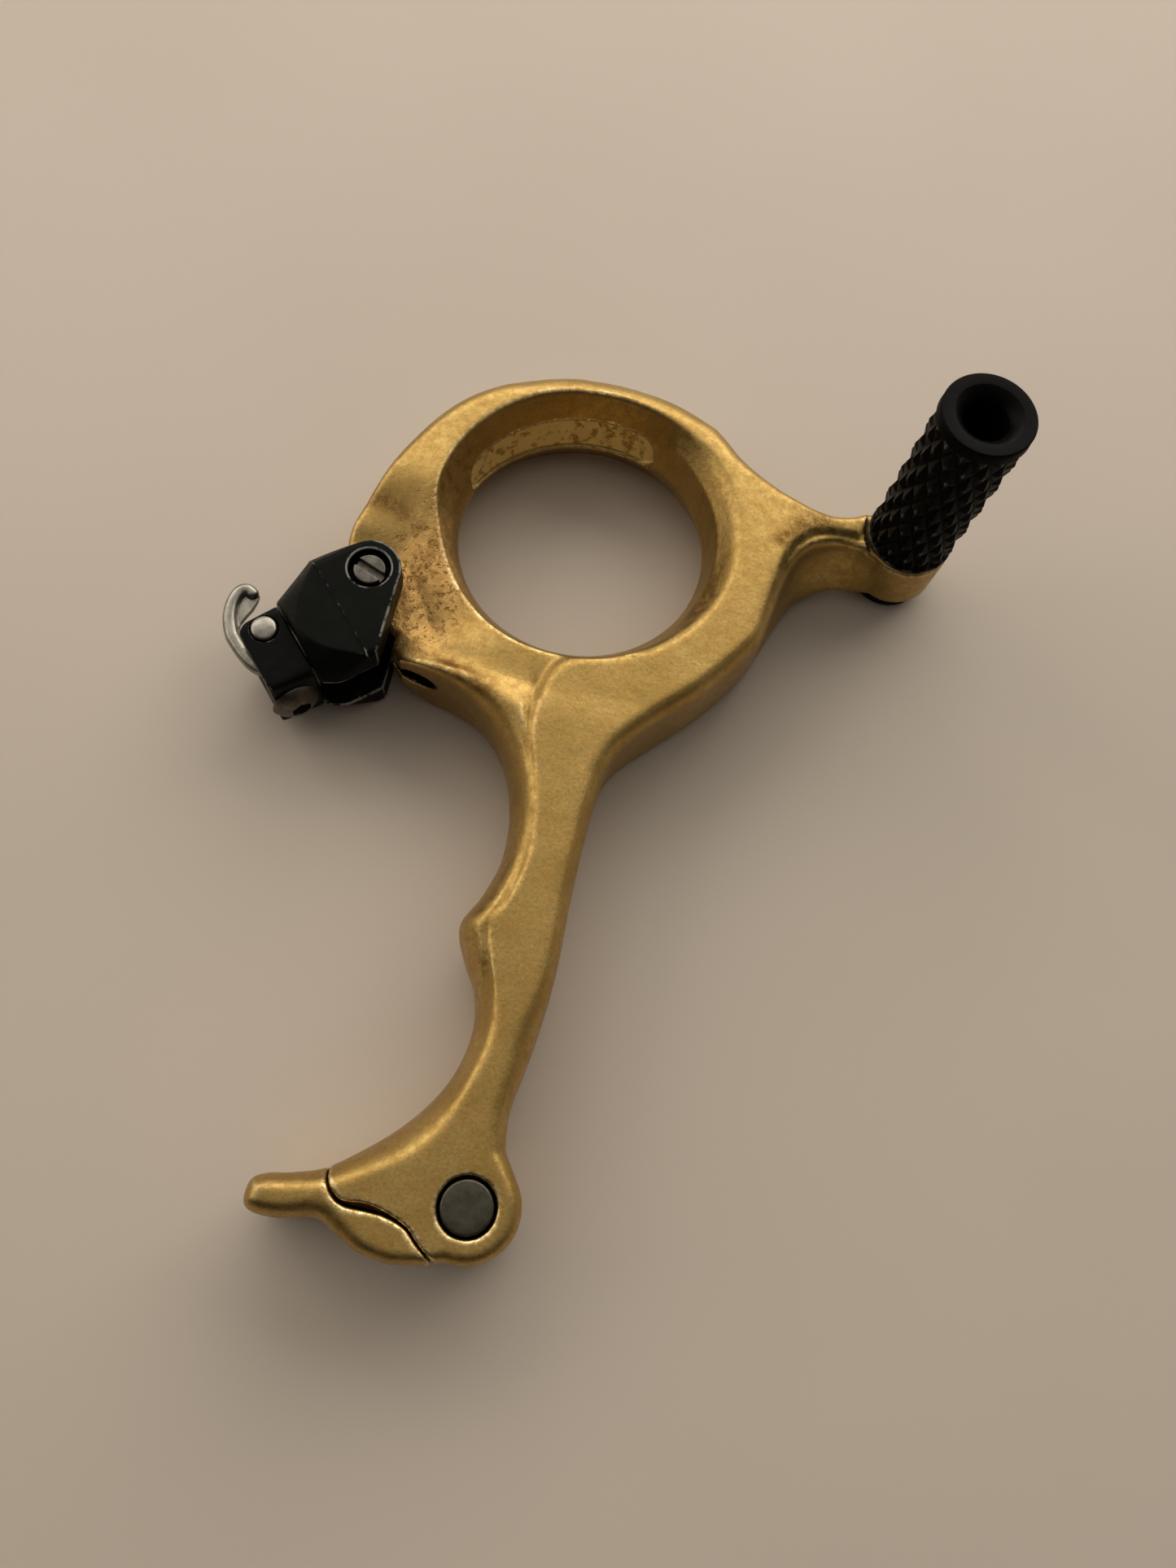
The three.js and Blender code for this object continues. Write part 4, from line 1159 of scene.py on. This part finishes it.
def bronze_material():
    n = Nodes("bearing_bronze")
    patch = n.span(n.noise(1.0, 4, 0.6), 0.35, 0.7)
    base = n.mix(patch, (0.42, 0.26, 0.10), (0.30, 0.17, 0.06))
    rough = n.span(n.noise(2.0, 4, 0.6), 0.3, 0.7, 0.35, 0.5)
    grain = n.bump(n.noise(4, 3, 0.6), 0.01, 0.5)
    return n.finish(Base_Color=base, Roughness=rough, Metallic=1.0, Normal=grain)


def table_material():
    n = Nodes("pale_table")
    patch = n.span(n.noise(0.012, 3, 0.5), 0.35, 0.7)
    speck = n.noise(1.6, 4, 0.6)
    base = n.mix(patch, (0.60, 0.525, 0.445), (0.63, 0.55, 0.47))
    base = n.mix(n.times(speck, 0.10), base, (0.5, 0.43, 0.36))
    grain = n.bump(n.noise(2.0, 3, 0.6), 0.02, 0.4)
    return n.finish(Base_Color=base, Roughness=0.62, Normal=grain)


BRASS = brass_material()
YOKE_BLACK = anodised_material("yoke_anodised", (0.0026, 0.0031, 0.0024), 0.42, 0.03)
BLOCK_BLACK = anodised_material("block_anodised", (0.0020, 0.0022, 0.0021), 0.36, 0.04)
KNURL = knurl_material()
STEEL = steel_material("satin_steel", (0.36, 0.345, 0.305), (0.25, 0.235, 0.20), 0.33)
DARK_STEEL = steel_material("dark_steel", (0.16, 0.15, 0.13), (0.09, 0.08, 0.07), 0.38)
DISC_STEEL = steel_material("disc_steel", (0.11, 0.10, 0.075), (0.075, 0.068, 0.052), 0.38)
BRONZE = bronze_material()


# ---- the pieces

# Height over which the upper face's marks fade in, so that they don't run down the walls.
FACE_LOW, FACE_HIGH = 7.5, 9.0


def cast_share(vertices):
    """1 on the raw cast surface by the head, 0 on tumbled metal."""
    x, y, z = vertices.T
    by_head = np.exp(-(((x + 15.2) / 5.4) ** 2 + ((y + 10.5) / 8.0) ** 2) ** 1.5)
    return by_head * step(FACE_LOW, FACE_HIGH, z)


def pocket_share(vertices):
    """1 on the floor of the arc pocket in the ring's bore, where the brass is painted brighter as painted light.
    """
    x, y, z = vertices.T
    radius = np.hypot(x, y)
    bearing = np.degrees(np.arctan2(y, x))
    edge = np.abs(z - POCKET_HEIGHT)
    floor = step(POCKET_RADIUS - 0.4, POCKET_RADIUS - 0.05, radius) * (radius < CREASE)
    floor = floor * step(POCKET_HALF, POCKET_HALF - 0.3, edge)
    ends = step(POCKET_START - 1, POCKET_START + 2, bearing) * step(POCKET_END + 1, POCKET_END - 2, bearing)
    return floor * ends


# Painted shade: brown bands in the dip by the junction, below the head, and on the arm's slope.
SHADE_BAND_LINES = [
    [(-13.2, -19.4), (-9.0, -20.4), (-5.2, -22.0)],
    [(-24.0, -3.2), (-20.5, -3.6), (-17.0, -5.6)],
    [(21.5, 4.0), (23.0, 7.0), (26.5, 9.2)],
]
SHADE_BAND_WIDTH = 0.9


def shade_band_share(vertices):
    """1 along the brown bands of painted shade."""
    x, y, z = vertices.T
    share = 0
    for line in SHADE_BAND_LINES:
        share = share + np.exp(-(line_distance(line, x, y) / SHADE_BAND_WIDTH) ** 2)
    return np.clip(share, 0, 1) * step(FACE_LOW, FACE_HIGH, z)


def hole_shade_share(vertices):
    """1 down in the threaded holes, whose brass is painted nearly black: painted shade, standing in also for the
    dark set screws deeper down.
    """
    x, y, z = vertices.T
    depth = np.minimum(screw_hole(x, y, z), travel_hole(x, y, z))
    return step(0.12, 0.04, depth) * step(15.5, 15.0, gap_from(PIVOT, x, y))


def add_brass():
    grid, handle, extension = brass_fields()
    extra = {"cast": cast_share, "pocket": pocket_share, "hole_shade": hole_shade_share, "shade_band": shade_band_share}
    add_field_piece(
        "handle_brass", grid, handle, RING_MATRIX, BRASS, "handle", "cast_brass", "handle_body", extra
    )
    add_field_piece(
        "extension_brass", grid, extension, RING_MATRIX, BRASS, "extension", "cast_brass",
        "little_finger_extension", extra,
    )


def rubbed_share(vertices):
    """1 where the handle and the fingers rub the head's edges, 0 elsewhere."""
    x, y, z = vertices.T
    return np.maximum(step(4.5, 3.5, x), step(7.6, 8.4, y))


def add_head():
    pieces = [
        ("yoke_shell", yoke_fields, YOKE_BLACK, "head", "black_anodised", "head_yoke"),
        ("hook_block_shell", block_fields, BLOCK_BLACK, "hook_block", "black_anodised", "hook_block"),
        ("steel_hook", hook_fields, STEEL, "hook", "satin_steel", "hook"),
        ("slotted_screw", pivot_screw_fields, DARK_STEEL, "head", "dark_steel", "pivot_screw"),
        ("button_screw", lock_screw_fields, DARK_STEEL, "hook_block", "dark_steel", "hook_lock_screw"),
    ]
    extra = {"rubbed": rubbed_share}
    for name, fields, material, body, slot, node in pieces:
        grid, field = fields()
        add_field_piece(name, grid, field, HEAD_MATRIX, material, body, slot, node, extra)


def knurl_wear_and_glint(vertices):
    """1 on the tips of the knurl's diamonds, 0 in its grooves and on the collar: worn anodising there, and painted
    highlights.
    """
    tip_depth = 0.16
    proud = np.hypot(vertices[:, 0], vertices[:, 1]) - BARREL_RADIUS + tip_depth
    on_knurl = vertices[:, 2] < vertices[:, 2].max() - COLLAR - 0.1
    return np.clip(proud / tip_depth, 0, 1) * on_knurl


def add_turned():
    vertices, quads = barrel_mesh()
    foot = Matrix.Translation(Vector((0, 0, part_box("thumb_barrel")[0].z)))
    barrel = add_piece(
        "knurled_barrel", vertices, quads, foot @ upright_matrix("thumb_barrel"), KNURL, "handle",
        "knurled_black", "thumb_barrel", {"wear": knurl_wear_and_glint(vertices)},
    )
    disc = add_piece(
        "hinge_disc", *pin_head_mesh("extension_hinge_pin", PIN_RADIUS, 0.22, 0.03),
        upright_matrix("extension_hinge_pin"), DISC_STEEL, "handle", "dark_steel", "extension_hinge_pin",
    )
    pin = add_piece(
        "hook_pin_turned", *hook_pin_mesh(), upright_matrix("hook_pin"), STEEL, "hook_block",
        "satin_steel", "hook_pin",
    )
    for piece in (barrel, disc, pin):
        split_sharp(piece, 50)


# CAD nodes that are shown as they are, with the material that each one gets.
KEPT_NODES = {
    "pivot_bushing": BRONZE,
    "upper_thrust_washer": BRONZE,
    "lower_thrust_washer": BRONZE,
    "swivel_washer": DARK_STEEL,
    "half_moon": STEEL,
    "sear_plunger": STEEL,
    "swivel_retaining_ring": STEEL,
    "extension_detent_ball": STEEL,
    "extension_detent_spring": STEEL,
    "half_moon_set_screw": DARK_STEEL,
    "head_travel_set_screw": DARK_STEEL,
    "thumb_barrel_screw": BLOCK_BLACK,
}


def finish_cad_nodes():
    for name, material in KEPT_NODES.items():
        node = frame["nodes"][name]
        node.data.materials.clear()
        node.data.materials.append(material)
        node.data.polygons.foreach_set("use_smooth", [True] * len(node.data.polygons))
        split_sharp(node)


# ---- table, light, camera

def add_table():
    """A plain pale table top, 3 m across."""
    half = 1.5
    mesh = bpy.data.meshes.new("table")
    corners = [(-half, -half, 0), (half, -half, 0), (half, half, 0), (-half, half, 0)]
    mesh.from_pydata(corners, [], [(0, 1, 2, 3)])
    mesh.materials.append(table_material())
    table = bpy.data.objects.new("table", mesh)
    bpy.context.scene.collection.objects.link(table)


def add_softbox(name, place, size, power, tint):
    """A soft rectangular light that faces the object."""
    light = bpy.data.lights.new(name, "AREA")
    light.shape = "RECTANGLE"
    light.size, light.size_y = size
    light.energy = power
    light.color = tint
    lamp = bpy.data.objects.new(name, light)
    lamp.location = place
    lamp.rotation_euler = (-Vector(place)).to_track_quat("-Z", "Y").to_euler()
    bpy.context.scene.collection.objects.link(lamp)


def add_lights():
    add_softbox("window", (0.08, 0.52, 0.35), (0.85, 0.45), 2.7, (1.0, 0.93, 0.83))
    add_softbox("ceiling", (-0.10, 0.0, 0.80), (0.9, 0.8), 0.60, (1.0, 0.93, 0.84))
    add_softbox("side_window", (-0.42, 0.42, 0.50), (0.35, 0.35), 0.6, (1.0, 0.93, 0.84))
    add_softbox("pale_wall", (-0.55, 0.10, 0.30), (0.6, 0.4), 1.1, (1.0, 0.90, 0.78))
    world = bpy.data.worlds.new("soft_room")
    world.use_nodes = True
    tree = world.node_tree
    direction = tree.nodes.new("ShaderNodeTexCoord").outputs["Generated"]
    split = tree.nodes.new("ShaderNodeSeparateXYZ")
    tree.links.new(direction, split.inputs["Vector"])
    dim = tree.nodes.new("ShaderNodeMapRange")
    dim.interpolation_type = "SMOOTHSTEP"
    for key, number in (("From Min", -0.7), ("From Max", 0.5), ("To Min", 0.045), ("To Max", 0.34)):
        dim.inputs[key].default_value = number
    tree.links.new(split.outputs["Y"], dim.inputs["Value"])
    tree.links.new(dim.outputs["Result"], tree.nodes["Background"].inputs["Strength"])
    tree.nodes["Background"].inputs["Color"].default_value = (1.0, 0.93, 0.83, 1)
    bpy.context.scene.world = world


# Camera place in millimetres from the ring, and its angles from straight down.
CAMERA_FOOT = (7.8, -69.9)
CAMERA_HEIGHT = 125.24
TILT, ROLL = math.radians(19.539), math.radians(14.942)
# Focal length over the picture's longer side.
FOCAL_SHARE = 1448 / 1927


def add_camera():
    data = bpy.data.cameras.new("camera")
    data.sensor_width = 36
    data.lens = FOCAL_SHARE * data.sensor_width
    data.clip_start = 0.01
    camera = bpy.data.objects.new("camera", data)
    right = Vector((1, 0, 0))
    up = Vector((0, math.cos(TILT), math.sin(TILT)))
    back = Vector((0, -math.sin(TILT), math.cos(TILT)))
    rolled_right = math.cos(ROLL) * right + math.sin(ROLL) * up
    rolled_up = -math.sin(ROLL) * right + math.cos(ROLL) * up
    turn = Matrix((rolled_right, rolled_up, back)).transposed().to_4x4()
    foot = RING_PLACE + Vector((CAMERA_FOOT[0], CAMERA_FOOT[1], CAMERA_HEIGHT)) * MM
    camera.matrix_world = Matrix.Translation(foot) @ turn
    bpy.context.scene.collection.objects.link(camera)
    bpy.context.scene.camera = camera


def set_view():
    view = bpy.context.scene.view_settings
    view.view_transform = "Standard"
    view.look = "None"
    view.exposure = 0.0


add_brass()
add_head()
add_turned()
finish_cad_nodes()
add_table()
add_lights()
add_camera()
set_view()
